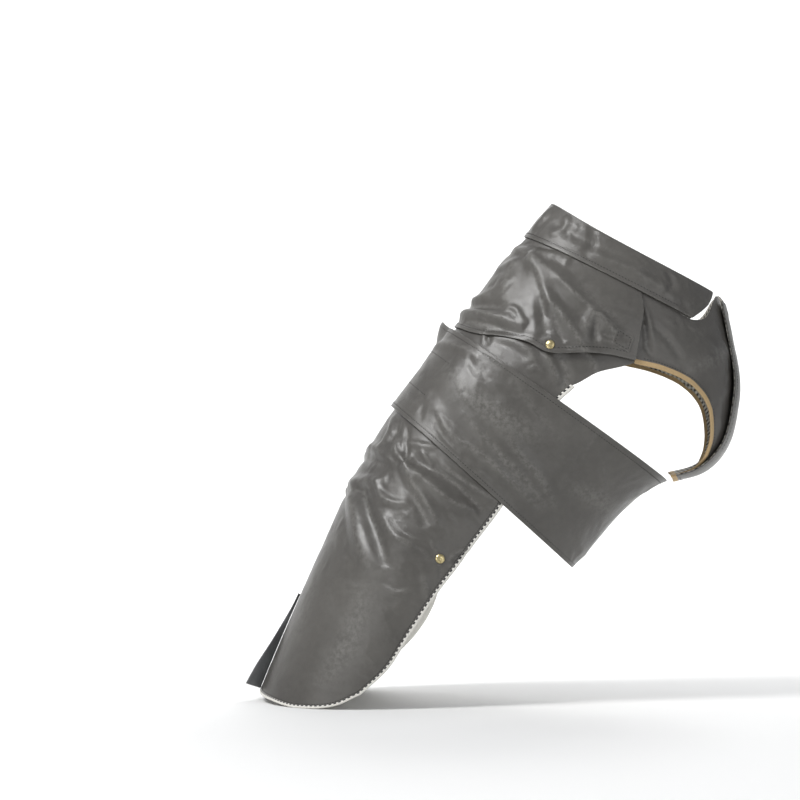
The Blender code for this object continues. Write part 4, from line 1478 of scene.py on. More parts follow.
class Creases:
    """Where each cloth is creased. Heights, reaches and crests are in millimetres."""

    CAPE = (
        Fold(
            ((0.022, 27.0), (0.037, 54.0), (0.048, 66.8), (0.054, 76.5), (0.062, 90.0)),
            4.6,
            15,
            1.3,
            (0.10, 0.3),
        ),
        Fold(
            ((0.024, 29.0), (0.047, 44.8), (0.065, 53.2), (0.076, 65.2), (0.09, 75.2), (0.103, 85.2)),
            4.6,
            13,
            1.6,
            (0.08, 0.1),
        ),
        Fold(((0.040, 38.0), (0.069, 51.2), (0.090, 57.5), (0.105, 63.2)), -3.4, 8, 1.2, (0.4, 0.1)),
        Fold(((0.024, -14.0), (0.023, 12.0), (0.021, 29.0), (0.011, 43.2), (0.011, 56.0)), 2.8, 8, 1.6),
        Fold(((0.019, 8.5), (0.008, 24.8), (0.006, 43.2)), -1.4, 5, 1.0),
        Fold(((0.114, -6.0), (0.094, 17.8), (0.076, 23.2)), 4.2, 11, 1.3, (0.2, 0.35)),
        Fold(((0.118, -5.0), (0.110, 18.0), (0.096, 37.2)), -3.6, 8, 1.4, (0.1, 0.3)),
        Fold(((0.131, -8.0), (0.122, 18.0), (0.110, 38.0), (0.105, 51.8)), 5.4, 9.5, 2.4, (0.1, 0.35)),
        Fold(((0.137, 14.0), (0.127, 34.0), (0.114, 53.8)), -3.4, 8, 2.0),
        Fold(((0.102, 36.0), (0.094, 40.0), (0.103, 52.0)), 1.8, 4.5, 1.0),
        Fold(((0.053, 76.2), (0.066, 74.8), (0.087, 76.2)), 2.8, 7, 1.2, (0.05, 0.3)),
        Fold(((0.055, 76.8), (0.068, 78.6), (0.086, 81.2)), -2.8, 5, 0.9, (0.1, 0.3)),
        Fold(((0.054, 77.0), (0.065, 87.5), (0.063, 93.0)), 3.2, 8, 1.2, (0.05, 0.4)),
        Fold(((0.072, 82.0), (0.0685, 88.2), (0.061, 94.0)), -3.0, 4.8, 1.0),
        Fold(((0.078, 82.0), (0.074, 88.2), (0.070, 93.0)), 1.8, 5.0, 1.0),
        Fold(((0.032, 20.0), (0.060, 24.0), (0.085, 32.0), (0.100, 44.0)), 2.6, 16, 4.5),
        Fold(((0.030, 62.0), (0.046, 78.0), (0.052, 90.0)), -1.8, 12, 3.5),
        Fold(((0.072, 58.0), (0.086, 63.0), (0.098, 70.0)), -2.2, 8, 2.0),
        Fold(((0.060, 4.0), (0.048, 16.0), (0.036, 24.0)), 2.0, 9, 2.2),
    )
    SHELL = (
        Fold(((0.106, 58.5), (0.122, 68.8), (0.138, 80.5)), 3.0, 6.5, 1.0, (0.1, 0.3)),
        Fold(((0.110, 69.0), (0.121, 76.8), (0.144, 84.0)), -2.8, 6.5, 1.6, (0.1, 0.3)),
        Fold(((0.134, 40.2), (0.125, 53.8), (0.128, 62.5), (0.140, 66.2)), 2.6, 7, 2.2),
        Fold(((0.132, 36.2), (0.146, 43.0)), -1.8, 3.6, 0.9),
        Fold(((0.130, 33.2), (0.147, 39.0)), 1.6, 3.6, 0.9),
        Fold(((0.146, 67.0), (0.136, 68.2), (0.138, 72.2)), 1.8, 3.6, 1.0),
        Fold(((0.082, 68.0), (0.09, 75.2), (0.103, 85.2), (0.112, 88.0)), 2.6, 7, 1.4, (0.2, 0.1)),
        Fold(
            ((0.320, 47.5), (0.322, 59.8), (0.323, 70.0), (0.322, 81.2), (0.308, 94.0)),
            5.2,
            13,
            1.5,
            (0.04, 0.25),
        ),
        Fold(((0.320, 47.5), (0.336, 59.2), (0.349, 73.0), (0.366, 85.0)), 4.8, 11, 1.7, (0.05, 0.4)),
        Fold(((0.317, 48.8), (0.303, 63.5), (0.298, 80.5), (0.302, 97.0)), -4.0, 12, 2.0, (0.1, 0.15)),
        Fold(((0.340, 56.0), (0.352, 66.0), (0.372, 78.0)), -3.4, 12, 2.4),
        Fold(((0.320, 47.5), (0.317, 38.0), (0.302, 33.0)), 3.2, 5.5, 1.1, (0.05, 0.3)),
        Fold(((0.319, 48.2), (0.300, 41.5), (0.282, 33.5)), -2.8, 5, 1.1, (0.1, 0.3)),
        Fold(((0.285, 12.8), (0.299, 21.5), (0.331, 23.8)), 3.4, 7.5, 1.5),
        Fold(((0.285, 24.0), (0.300, 29.0), (0.316, 30.0)), -2.4, 6, 1.4),
        Fold(((0.338, -8.0), (0.330, 20.0), (0.330, 40.0)), 3.8, 9, 1.6, (0.1, 0.3)),
        Fold(((0.350, -8.0), (0.346, 20.0), (0.340, 40.0)), -3.2, 9, 1.8, (0.1, 0.3)),
        Fold(((0.384, -8.0), (0.378, 20.0), (0.362, 37.2), (0.352, 43.2)), 4.4, 11, 1.5, (0.1, 0.25)),
        Fold(((0.398, -6.0), (0.392, 20.0), (0.375, 34.0)), -2.8, 8, 1.8, (0.1, 0.3)),
        Fold(((0.360, 35.2), (0.374, 43.8), (0.374, 53.8), (0.361, 63.0)), 3.6, 6.5, 1.1),
        Fold(((0.384, 12.0), (0.413, 31.5), (0.440, 45.5), (0.468, 60.5)), 6.0, 15, 5.0, (0.15, 0.3)),
        Fold(((0.380, 24.5), (0.405, 43.0), (0.426, 55.8), (0.452, 67.5)), -4.6, 12, 2.6, (0.15, 0.3)),
        Fold(((0.392, 50.8), (0.410, 64.5), (0.408, 77.5)), 3.4, 9.5, 2.4),
        Fold(((0.408, 76.0), (0.409, 86.0)), -1.6, 3.4, 0.9),
        Fold(((0.401, 95.2), (0.377, 98.0), (0.360, 103.2)), 2.4, 4.4, 1.0, (0.05, 0.2)),
        Fold(((0.396, 97.2), (0.372, 101.0), (0.356, 104.2)), -2.0, 4.0, 1.0, (0.05, 0.2)),
        Fold(((0.386, 82.0), (0.399, 88.0)), 1.8, 3.4, 0.9),
        Fold(((0.411, 93.0), (0.438, 97.5)), -1.8, 4.4, 1.0),
        Fold(((0.478, 69.0), (0.477, 79.5), (0.464, 84.5)), 1.8, 4.2, 1.0),
        Fold(((0.435, 86.5), (0.468, 95.2)), 2.2, 5.5, 1.3),
        Fold(((0.300, 40.2), (0.289, 50.8), (0.277, 58.8)), 2.8, 5.5, 1.1),
        Fold(((0.294, 50.5), (0.303, 64.5)), 2.2, 4.5, 1.1),
        Fold(((0.292, 64.0), (0.287, 82.0), (0.278, 99.0)), 2.8, 6.5, 1.4),
        Fold(((0.470, 10.0), (0.520, 22.0), (0.600, 30.0)), 2.6, 40, 12.0),
        Fold(((0.480, 60.0), (0.560, 66.0), (0.640, 62.0)), -2.4, 40, 14.0),
    )
    WRAP = (
        Fold(((0.190, -16.0), (0.174, 17.8), (0.166, 31.8), (0.165, 46.2)), 2.8, 8, 1.6),
        Fold(((0.172, 40.2), (0.184, 54.5)), -1.4, 5, 2.2),
        Fold(((0.168, 46.0), (0.181, 58.0)), -1.2, 5, 2.2),
        Fold(((0.238, 38.0), (0.254, 60.2), (0.248, 78.0), (0.248, 95.2), (0.250, 118.0)), 3.0, 9.5, 3.0),
        Fold(((0.226, 56.2), (0.233, 81.2), (0.238, 101.8), (0.245, 120.0)), 2.8, 9, 3.0),
        Fold(((0.206, 76.5), (0.220, 90.5), (0.225, 104.8), (0.239, 122.2)), 2.8, 9, 3.2),
        Fold(((0.222, 68.8), (0.240, 90.0), (0.242, 105.0), (0.247, 116.0)), -2.2, 6, 2.0),
        Fold(((0.236, 24.2), (0.268, 43.5)), -1.6, 7, 2.4),
        Fold(((0.246, 44.8), (0.261, 56.8), (0.263, 69.5)), -2.0, 5.5, 1.8),
        Fold(((0.195, 30.0), (0.205, 60.0), (0.196, 96.0)), 3.4, 32, 12.0),
        Fold(((0.160, 60.0), (0.176, 84.0), (0.186, 106.0)), -1.4, 12, 4.0),
        Fold(((0.215, 116.0), (0.205, 140.0), (0.210, 170.0)), 2.4, 22, 8.0),
    )
    CHEST = (
        Fold(
            ((0.009, 92.0), (0.031, 97.5), (0.053, 100.8), (0.064, 102.6), (0.067, 106.0)),
            -2.8,
            4.4,
            0.8,
            (0.3, 0.2),
        ),
        Fold(((0.009, 94.5), (0.031, 100.0), (0.056, 104.5)), 1.4, 5.0, 1.2),
        Fold(((0.034, 101.8), (0.044, 112.5), (0.056, 119.8)), -1.6, 7, 2.4),
        Fold(((0.064, 122.0), (0.036, 141.2), (0.004, 168.5)), 3.0, 18, 6.0),
        Fold(((0.066, 104.2), (0.064, 118.5), (0.066, 130.0)), -1.2, 5, 1.6),
        Fold(((0.090, 158.0), (0.060, 166.0), (0.020, 170.0)), -2.2, 20, 7.0),
        Fold(((0.118, 164.0), (0.090, 172.0), (0.050, 176.0)), 2.0, 12, 4.0),
    )
    COLLAR = (
        Fold(((-0.046, 58.0), (-0.020, 62.0), (-0.004, 60.0)), -1.6, 7, 1.6),
        Fold(((-0.046, 12.0), (-0.024, 14.0), (-0.006, 10.0)), 1.4, 10, 3.0),
        Fold(((-0.040, 96.0), (-0.018, 92.0), (-0.004, 98.0)), 1.2, 14, 4.0),
        Fold(((-0.030, 20.0), (-0.024, 48.0), (-0.030, 84.0)), -1.3, 10, 3.0),
        Fold(((-0.012, 66.0), (-0.016, 90.0), (-0.010, 118.0)), 1.0, 7, 2.4),
        Fold(((-0.044, 36.0), (-0.028, 40.0), (-0.010, 33.0)), 1.3, 8, 1.6),
        Fold(((-0.043, 108.0), (-0.024, 112.0), (-0.006, 106.0)), -1.2, 7, 1.4),
    )


@dataclass
class CalmField(FoldField):
    """Creases of a back panel: flat where the wrap presses, and matched at the centre-back seam.

    Towards the spine each side's creases turn into the mean of both sides', so that the two
    panels meet at the same height.
    """

    calm: tuple[float, float] = (0.0, 0.0)
    other: "CalmField | None" = None
    matched: float = 12.0

    def shape(self, along: np.ndarray, turn: np.ndarray) -> tuple[np.ndarray, np.ndarray]:
        """The height and the crest mask, with the other side's share of them near the spine.

        Args:
            along: metres down the spine.
            turn: degrees round from it.

        Returns:
            The height and the mask at each place.
        """
        height, mask = self.own(along, turn)
        if self.other is None:
            return height, mask
        share = 0.5 * (1 - ramp(turn, 0.0, self.matched))
        height_there, mask_there = self.other.own(along, turn)
        return height + share * (height_there - height), mask + share * (mask_there - mask)

    def own(self, along: np.ndarray, turn: np.ndarray) -> tuple[np.ndarray, np.ndarray]:
        """This side's height and mask, both brought down to nothing in the calm stretch.

        Args:
            along: metres down the spine.
            turn: degrees round from it.

        Returns:
            The height and the mask at each place.
        """
        height, mask = super().shape(along, turn)
        low, high = self.calm
        share = 1 - ramp(along, low, low + 0.008) * (1 - ramp(along, high - 0.008, high))
        return height * share, mask * share


def mirrored_folds(folds: Sequence[Fold], shift: float, scale: float) -> list[Fold]:
    """The creases for the other side: each moved down the spine and made a little lower.

    Args:
        folds: the creases of the right side.
        shift: metres down the spine, reached at 25 degrees from it.
        scale: what their heights are multiplied by.

    Returns:
        The new creases.
    """
    return [
        Fold(
            [(along + shift * float(ramp(turn, 5, 25)), turn) for along, turn in fold.line],
            fold.height * scale,
            fold.reach * 1.1,
            fold.crest,
            fold.taper,
        )
        for fold in folds
    ]


class Lines:
    """The coat's edges on the form, each a list of places."""

    @staticmethod
    def seam_turn(along: np.ndarray | float) -> np.ndarray | float:
        """The turn of the seam between the back and the chest, which leans forward going down."""
        return SIZES.chest_seam + SIZES.seam_lean * along / SIZES.seam_length

    @staticmethod
    def side() -> list[tuple[float, float]]:
        """The coat's front edge, from the foreleg's cut-out down to the rear corner."""
        wrap, tail = SIZES.wrap_top, SIZES.back_length
        line = [(wrap - 0.022, 85.0), (wrap + 0.05, 92.0), (SIZES.wrap_bottom - SIZES.wrap_gap, 101.0)]
        line += [(tail - 0.295, 102.0), (tail - 0.210, 97.5), (tail - 0.148, 95.0)]
        return line + [(tail - 0.086, 93.0), (tail - 0.040, 86.5)]

    @staticmethod
    def hem() -> list[tuple[float, float]]:
        """The rear hem, from the rear corner back to the tail."""
        tail = SIZES.back_length
        line = [(tail - 0.040, 86.5), (tail - 0.015, 76.5), (tail + 0.001, 55.0)]
        return line + [(tail + 0.002, 30.0), (tail, SIZES.centre)]

    @classmethod
    def cut_out(cls, last: float) -> list[tuple[float, float]]:
        """The foreleg cut-out's edge on the chest, from the seam to the given turn."""
        low = SIZES.seam_length
        line = [(low, cls.seam_turn(low) + 0.25), (0.074, 112.0), (0.073, 128.0), (0.081, 140.0)]
        return line + [(0.098, 149.0), (0.119, 159.0), (0.137, 169.0), (0.147, 180.0), (0.147, last)]

    @staticmethod
    def cape(first: float, last: float) -> list[tuple[float, float]]:
        """The cape's lower edge between two turns, which dips round the stud.

        Args:
            first: the turn that it starts at, on either side of the spine.
            last: the turn that it ends at.

        Returns:
            The edge's places.
        """
        length, (stud, stud_turn) = SIZES.cape_length, SIZES.cape_stud
        line = [(length, 0.0), (length - 0.001, 12.0), (length - 0.008, 33.5), (stud + 0.018, 48.0)]
        line += [(stud + 0.010, 58.0), (stud + 0.0085, stud_turn + 0.5), (stud - 0.008, 77.0)]
        line += [(length - 0.061, 86.0), (length - 0.070, SIZES.cape_front)]
        turns = np.array([turn for _, turn in line])
        alongs = np.array([along for along, _ in line])
        at = np.linspace(first, last, 121)
        return [tuple(place) for place in np.stack([smooth(np.abs(at), turns, alongs), at], -1).tolist()]

    @staticmethod
    def chest_top(last: float) -> list[tuple[float, float]]:
        """The chest's upper edge: under the collar, then up past its corner to the neck rim."""
        corner, fall = SIZES.collar_corner, SIZES.collar_fall
        line = [
            (0.002, SIZES.chest_seam + 0.45), (0.002, 108.0), (0.004, corner + 1), (-0.004, corner + 10)
        ]
        line += [(0.008 - fall, corner + 30), (0.001 - fall, corner + 37)]
        return line + [(0.008 - fall, 180.0), (0.009 - fall, last)]

    @classmethod
    def back(cls, step: float) -> Places:
        """The main back panel, from the collar seam to the hem and from the centre to the side.

        Args:
            step: the size of its grid's cells, in metres.

        Returns:
            The panel's places.
        """
        spare = SIZES.binding - 0.8 * MM
        hem = inset(dense(cls.hem(), 90), spare)[::-1]
        side = inset(dense(cls.side(), 110), spare)
        hem[-1] = side[-1] = (hem[-1] + side[-1]) / 2
        hem[0, 1] = 0.12
        low, gap = SIZES.seam_length, 0.7 * MM
        seam = [(along, cls.seam_turn(along)) for along in np.linspace(gap, low, 12)]
        arm = dense(
            [(low, cls.seam_turn(low)), (low + 0.007, 95.0), (0.105, 87.5), tuple(side[0])], 24
        )[1:-1]
        front = np.concatenate([seam, arm, side])
        top = [(gap, 0.12), tuple(front[0])]
        return Places.between(top, hem, [top[0], tuple(hem[0])], front, step)

    @classmethod
    def chest(cls, last: float, step: float) -> Places:
        """A chest panel from its seam round the front of the chest to its free edge.

        Args:
            last: the turn of its free edge, in degrees.
            step: the size of its grid's cells, in metres.

        Returns:
            The panel's places.
        """
        bottom = inset(dense(cls.cut_out(last), 120), -SIZES.binding + 0.8 * MM)
        top = dense(cls.chest_top(last), 120)
        bottom[0] = (SIZES.seam_length, cls.seam_turn(SIZES.seam_length) + 0.1)
        top[0] = (0.002, cls.seam_turn(0.002) + 0.1)
        start, end = [tuple(top[0]), tuple(bottom[0])], [tuple(top[-1]), tuple(bottom[-1])]
        return Places.between(top, bottom, start, end, step)


@dataclass
class Shell:
    """The two back panels with their lining and the binding along their rear and side edges."""

    step: float = 2.7 * MM
    lining_step: float = 4.2 * MM
    seeds: tuple[int, int] = (11, 29)
    fields: dict[Side, FoldField] = field(default_factory=dict)
    panels: dict[Side, Cloth] = field(default_factory=dict)

    def creases(self, side: Side) -> FoldField:
        """All the creases of one back panel: the drawn ones, and small ones scattered over it.

        Args:
            side: the coat's side.

        Returns:
            The field.
        """
        right = side is Side.RIGHT
        seed = self.seeds[0 if right else 1]
        drawn = list(Creases.SHELL) if right else mirrored_folds(Creases.SHELL, 0.021, 0.85)
        small = crumple(seed, 46, (0.285, 0.475), (4, 99), height=1.1, slant=1.1)
        small += crumple(seed + 1, 16, (0.48, 0.665), (4, 90), (0.03, 0.09), 0.9, (9, 24), 1.2)
        small += crumple(seed + 2, 12, (0.10, 0.150), (40, 86), height=0.9)
        small += crumple(seed + 3, 150, (0.285, 0.50), (2, 101), (0.006, 0.028), 0.75, (2.6, 6.0), 1.1)
        small += crumple(seed + 4, 70, (0.50, 0.668), (2, 92), (0.012, 0.05), 0.45, (5.0, 12.0), 1.2)
        pins = [SIZES.cape_stud, SIZES.leg_stud]
        return CalmField(drawn + small, pins, calm=(SIZES.wrap_top - 0.004, SIZES.wrap_bottom + 0.004))

    def binding(self, side: Side) -> bpy.types.Object:
        """The folded tape along the side and rear edges of one panel."""
        line = np.concatenate([dense(Lines.side(), 200), dense(Lines.hem(), 150)[1:]])
        line[-1, 1] = 0.3
        tape = TapeRun(f"hem_tape_{side.hand}", (f"hem_binding_{side.hand}",), line, 1.0, FINISH.hem_tape)
        return tape.build(side, lambda along, turn: self.fields[side].height(along, turn))

    def build(self) -> None:
        """Makes both sides, with their linings, bindings and hem stitches."""
        self.fields = {side: self.creases(side) for side in Side}
        right, left = self.fields[Side.RIGHT], self.fields[Side.LEFT]
        right.other, left.other = left, right
        for side in Side:
            outer = Cloth(
                f"back_cloth_{side.hand}",
                (f"back_panel_{side.hand}",),
                Lines.back(self.step),
                lambda along, turn: np.full(np.shape(along), SIZES.shell_lift),
                SIZES.cloth,
                FINISH.waxed,
                self.fields[side],
                side=side,
                rests_on=(f"lining_cloth_{side.hand}",),
            )
            inner = Cloth(
                f"lining_cloth_{side.hand}",
                (f"back_lining_{side.hand}",),
                Lines.back(self.lining_step),
                lambda along, turn: np.full(np.shape(along), SIZES.lining_lift),
                SIZES.lining,
                FINISH.lining,
                self.fields[side],
                slot="check_lining",
                side=side,
                follow=0.45,
            )
            self.panels[side] = outer
            tape = self.binding(side)
            piece = outer.build()
            row = inset(dense(Lines.hem(), 120), SIZES.binding + 2.4 * MM)
            front = inset(dense(Lines.side(), 160)[12:], SIZES.binding + 2.4 * MM)
            sewn = STITCH.along_lines(f"hem_stitches_{side.hand}", outer, [front, row], FINISH.thread)
            outer.declare(piece, [tape, sewn])
            inner.declare(inner.build())


@dataclass
class TapeRun:
    """A folded tape along an edge: a rounded bar that holds the edges of the cloths in it."""

    name: str
    nodes: Sequence[str]
    line: np.ndarray
    inward: float
    finish: Finish
    slot: str = "check_lining"
    body: str = "coat"
    bend: Bend | None = None

    def build(self, side: Side, rise: LiftRule) -> bpy.types.Object:
        """Sweeps the section r(t) = (|cos t|^p, |sin t|^p), with p = 0.6, along the line.

        Args:
            side: the coat's side.
            rise: what the bar's height follows.

        Returns:
            The tape.
        """
        width, low = SIZES.binding + 0.9 * MM, SIZES.lining_lift - 0.3 * MM
        high = SIZES.shell_top + 0.45 * MM
        t = np.linspace(0, 2 * math.pi, 16, endpoint=False)
        across = np.sign(np.cos(t)) * np.abs(np.cos(t)) ** 0.6
        up = np.sign(np.sin(t)) * np.abs(np.sin(t)) ** 0.6
        middle = inset(self.line, self.inward * width / 2)
        follow = rise(middle[:, 0], middle[:, 1])
        rings = []
        for a, b in zip(across, up):
            places = inset(self.line, self.inward * width * (1 + a) / 2)
            height = (low + high) / 2 + (high - low) / 2 * b + follow
            rings.append(FORM.lifted(places[:, 0], places[:, 1], height) * np.array((1, side.value, 1)))
        points, faces = Shapes.tube(np.stack(rings, 1))
        steps = np.linalg.norm(np.diff(FORM.on(middle[:, 0], middle[:, 1]), axis=0), axis=1)
        run = np.concatenate([[0], np.cumsum(steps)])
        share = (1 + across) / 2
        uv = np.stack(np.broadcast_arrays(run[:, None], share[None]), -1).reshape(-1, 2)
        piece = Shapes.mesh_object(self.name, points, faces, self.finish.material(), uv)
        if self.bend:
            self.bend.apply(piece, side)
        else:
            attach(piece, self.body)
        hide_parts(*self.nodes)
        return piece


@dataclass
class Cape:
    """The storm cape: one cloth over both shoulders, made as two halves."""

    shell: Shell
    step: float = 2.3 * MM
    join: float = -32.0
    fade: float = 14.0
    cloths: dict[Side, Cloth] = field(default_factory=dict)

    def lift(self, along: np.ndarray, turn: np.ndarray) -> np.ndarray:
        """Close under the collar, then off the shell by a stud's space, and nearer away from the stud.

        Args:
            along: metres down the spine.
            turn: degrees round from it.

        Returns:
            The height of the cape's underside.
        """
        stud, stud_turn = SIZES.cape_stud
        gap = np.hypot(along - stud, (np.abs(turn) - stud_turn) * DEGREE_LENGTH)
        full = SIZES.cape_root + (SIZES.cape_lift - SIZES.cape_root) * ramp(along, 0.0, 0.045)
        near = ramp(along, 0.05, 0.13) * ramp(gap, 0.03, 0.075)
        return full - (SIZES.stud_space - 1.6 * MM) * near

    def cloth(self, side: Side) -> Cloth:
        """One side's cloth. The right one goes over the spine, and the left one meets it.

        Args:
            side: the coat's side.

        Returns:
            The cloth.
        """
        right = side is Side.RIGHT
        first = self.join if right else -self.join + 0.12
        edge = Lines.cape(first, SIZES.cape_front)
        front = float(Lines.seam_turn(0.012)) + 2.0
        top = [(0.002, first), (0.002, SIZES.chest_seam + 4.0)]
        end = [top[-1], (0.020, front + 3.0), (0.050, 97.0), edge[-1]]
        drawn = list(Creases.CAPE) if right else mirrored_folds(Creases.CAPE, 0.013, 0.85)
        seed = 5 if right else 17
        folds = drawn + crumple(seed, 34, (0.012, 0.142), (-38, 93), height=1.2, slant=0.4)
        folds += crumple(seed + 1, 150, (0.006, 0.146), (-39, 96), (0.006, 0.028), 0.8, (2.6, 6.0), 0.5)
        field_ = FoldField(folds, [SIZES.cape_stud], fade=(first, first + self.fade))
        places = Places.between(top, edge, [top[0], edge[0]], end, self.step, bend_sides=True)
        nodes = ("cape_back", "cape_side_right") if right else ("cape_side_left",)
        shell = self.shell.fields[side]
        opposite = self.shell.fields[Side.LEFT]

        def floor(along: np.ndarray, turn: np.ndarray) -> np.ndarray:
            """The cloth that the cape must stay over, with a little air."""
            under = np.where(turn >= 0, shell.height(along, turn), opposite.height(along, -turn))
            return SIZES.shell_top + under + 0.5 * MM

        return Cloth(
            f"cape_cloth_{side.hand}",
            nodes,
            places,
            self.lift,
            SIZES.cloth,
            FINISH.waxed,
            field_,
            side=side,
            body=f"cape_{side.hand}",
            bend=Bend(
                f"cape_{side.hand}", (0.03, SIZES.cape_fold - 5), (0.03, SIZES.cape_fold + 5), 5 * MM
            ),
            hems=(Edge.BOTTOM,),
            finished=(Edge.BOTTOM, Edge.END),
            floor=floor,
            rests_on=(f"back_cloth_{side.hand}",),
        )

    def tab(self, side: Side, cape: Cloth) -> Cloth:
        """The stitched reinforcement at the cape's front corner.

        Args:
            side: the coat's side.
            cape: the cape's cloth there.

        Returns:
            The tab's cloth.
        """
        low = SIZES.cape_length - 0.089
        places = Places.band(low, low + 0.016, 87.0, 95.0, 1.4 * MM)
        return Cloth(
            f"cape_corner_tab_{side.hand}",
            (f"cape_tab_{side.hand}",),
            places,
            lambda along, turn: cape.over(along, turn) + 0.12 * MM,
            SIZES.tape,
            FINISH.waxed,
            FoldField(()),
            side=side,
            body=f"cape_{side.hand}",
            rests_on=(cape.name,),
        )

    def build(self) -> None:
        """Makes both halves with their hems, stitches and corner tabs."""
        for side in Side:
            cape = self.cloth(side)
            self.cloths[side] = cape
            piece = cape.build()
            first = (self.join if side is Side.RIGHT else -self.join) + 0.6
            edge = np.array(Lines.cape(first, SIZES.cape_front - 3))
            row = inset(edge, -Cloth.STITCH_AT)
            lift = Cloth.WELT - Cloth.GROOVE * 0.9
            sewn = STITCH.along_lines(f"cape_stitches_{side.hand}", cape, [row], FINISH.thread, lift)
            tab = self.tab(side, cape)
            low = SIZES.cape_length - 0.089
            inside = [(low + 0.002, 88.0), (low + 0.014, 88.0), (low + 0.014, 94.0), (low + 0.002, 94.0)]
            corners = [dense([inside[i], inside[(i + 1) % 4]], 8) for i in range(4)]
            box = STITCH.along_lines(f"tab_stitches_{side.hand}", tab, corners, FINISH.thread)
            cape.declare(piece, [sewn])
            tab.declare(tab.build(), [box])


@dataclass
class Collar:
    """The collar: a stand inside the neck, and a fall that rolls over the rim and lies on the coat."""

    step: float = 2.2 * MM
    roll: float = 2.4 * MM

    @staticmethod
    def line(top: bool, drop: float = 0.0) -> np.ndarray:
        """The collar's rim or its free edge, from one front corner round the neck to the other.

        Args:
            top: whether it is the rim.
            drop: metres that the line is moved down the spine.

        Returns:
            The line's places.
        """
        corner, fall = SIZES.collar_corner, SIZES.collar_fall
        rim = [(-fall, 0.0), (0.006 - fall, 70.0), (0.002 - fall, corner + 26)]
        edge = [(0.0, 0.0), (-0.0002, 60.0), (0.0002, corner)]
        half = rim if top else edge
        line = [(along + drop, -turn) for along, turn in half[:0:-1]] + [(a + drop, t) for a, t in half]
        return dense(line, 160)

    def build(self) -> None:
        """Makes the stand, the fall, the roll between them and the fall's stitching."""
        high = SIZES.cape_root + SIZES.cloth + 0.6 * MM
        folds = list(Creases.COLLAR) + mirrored_folds(Creases.COLLAR, 0.0, 0.9)
        small = crumple(41, 26, (-0.044, -0.006), (-140, 140), (0.01, 0.035), 1.1, (3, 9), 0.7)
        small += crumple(42, 120, (-0.046, 0.002), (-145, 145), (0.006, 0.02), 0.6, (2.4, 5.0), 0.5)

        def lift(along: np.ndarray, turn: np.ndarray) -> np.ndarray:
            """Rolled away from the neck at the rim, and then down onto the cape."""
            rise = ramp(along, -SIZES.collar_fall, 0.0)
            bulge = np.sin(np.clip((along + SIZES.collar_fall) / SIZES.collar_fall, 0, 1) * math.pi)
            return SIZES.shell_top + 0.7 * MM + (high - SIZES.shell_top) * rise + 1.6 * MM * bulge

        top, bottom = self.line(True, 0.0005), self.line(False, 0.004)
        sides = [tuple(top[0]), tuple(bottom[0])], [tuple(top[-1]), tuple(bottom[-1])]
        fall = Cloth(
            "collar_fall_cloth",
            ("collar_fall",),
            Places.between(top, bottom, *sides, self.step),
            lift,
            1.2 * MM,
            FINISH.waxed,
            FoldField(folds + small),
            hems=(Edge.BOTTOM, Edge.START, Edge.END),
            finished=(Edge.BOTTOM, Edge.START, Edge.END),
            rests_on=("cape_cloth_right", "cape_cloth_left"),
        )
        stand = Cloth(
            "collar_stand_cloth",
            ("collar_stand",),
            Places.between(self.line(True), self.line(False, -0.002), *sides, 3.5 * MM),
            lambda along, turn: np.full(np.shape(along), SIZES.lining_lift),
            SIZES.shell_top - SIZES.lining_lift,
            FINISH.waxed,
            FoldField(()),
        )
        piece = fall.build()
        row = inset(self.line(False, 0.004)[6:-6], -Cloth.STITCH_AT)
        sewn = STITCH.along_lines("collar_stitches", fall, [row], FINISH.thread, Cloth.WELT * 0.5)
        line = self.line(True)
        t = np.linspace(0, 2 * math.pi, 14, endpoint=False)
        low, top_of = SIZES.lining_lift - 0.2 * MM, SIZES.shell_top + 2.3 * MM
        rings = [
            FORM.lifted(
                line[:, 0] + self.roll * 0.9 * (math.cos(a) - 0.1),
                line[:, 1],
                (low + top_of) / 2 + (top_of - low) / 2 * math.sin(a),
            )
            for a in t
        ]
        points, faces = Shapes.tube(np.stack(rings, 1))
        run = np.linspace(0, run_length(line), len(line))
        uv = np.stack(np.broadcast_arrays(run[:, None], (t * self.roll)[None]), -1).reshape(-1, 2)
        # A pale band along the roll at a fixed angle: rubbed wax and a painted highlight.
        mask = np.tile(np.exp(-(((t - math.pi * 0.8) / 0.6) ** 2)) * 0.7, len(line))
        roll = Shapes.mesh_object(
            "collar_roll", points, faces, FINISH.waxed.material(), uv, {"crest": mask}
        )
        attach(roll, "coat")
        fall.declare(piece, [sewn, roll])
        stand.declare(stand.build())


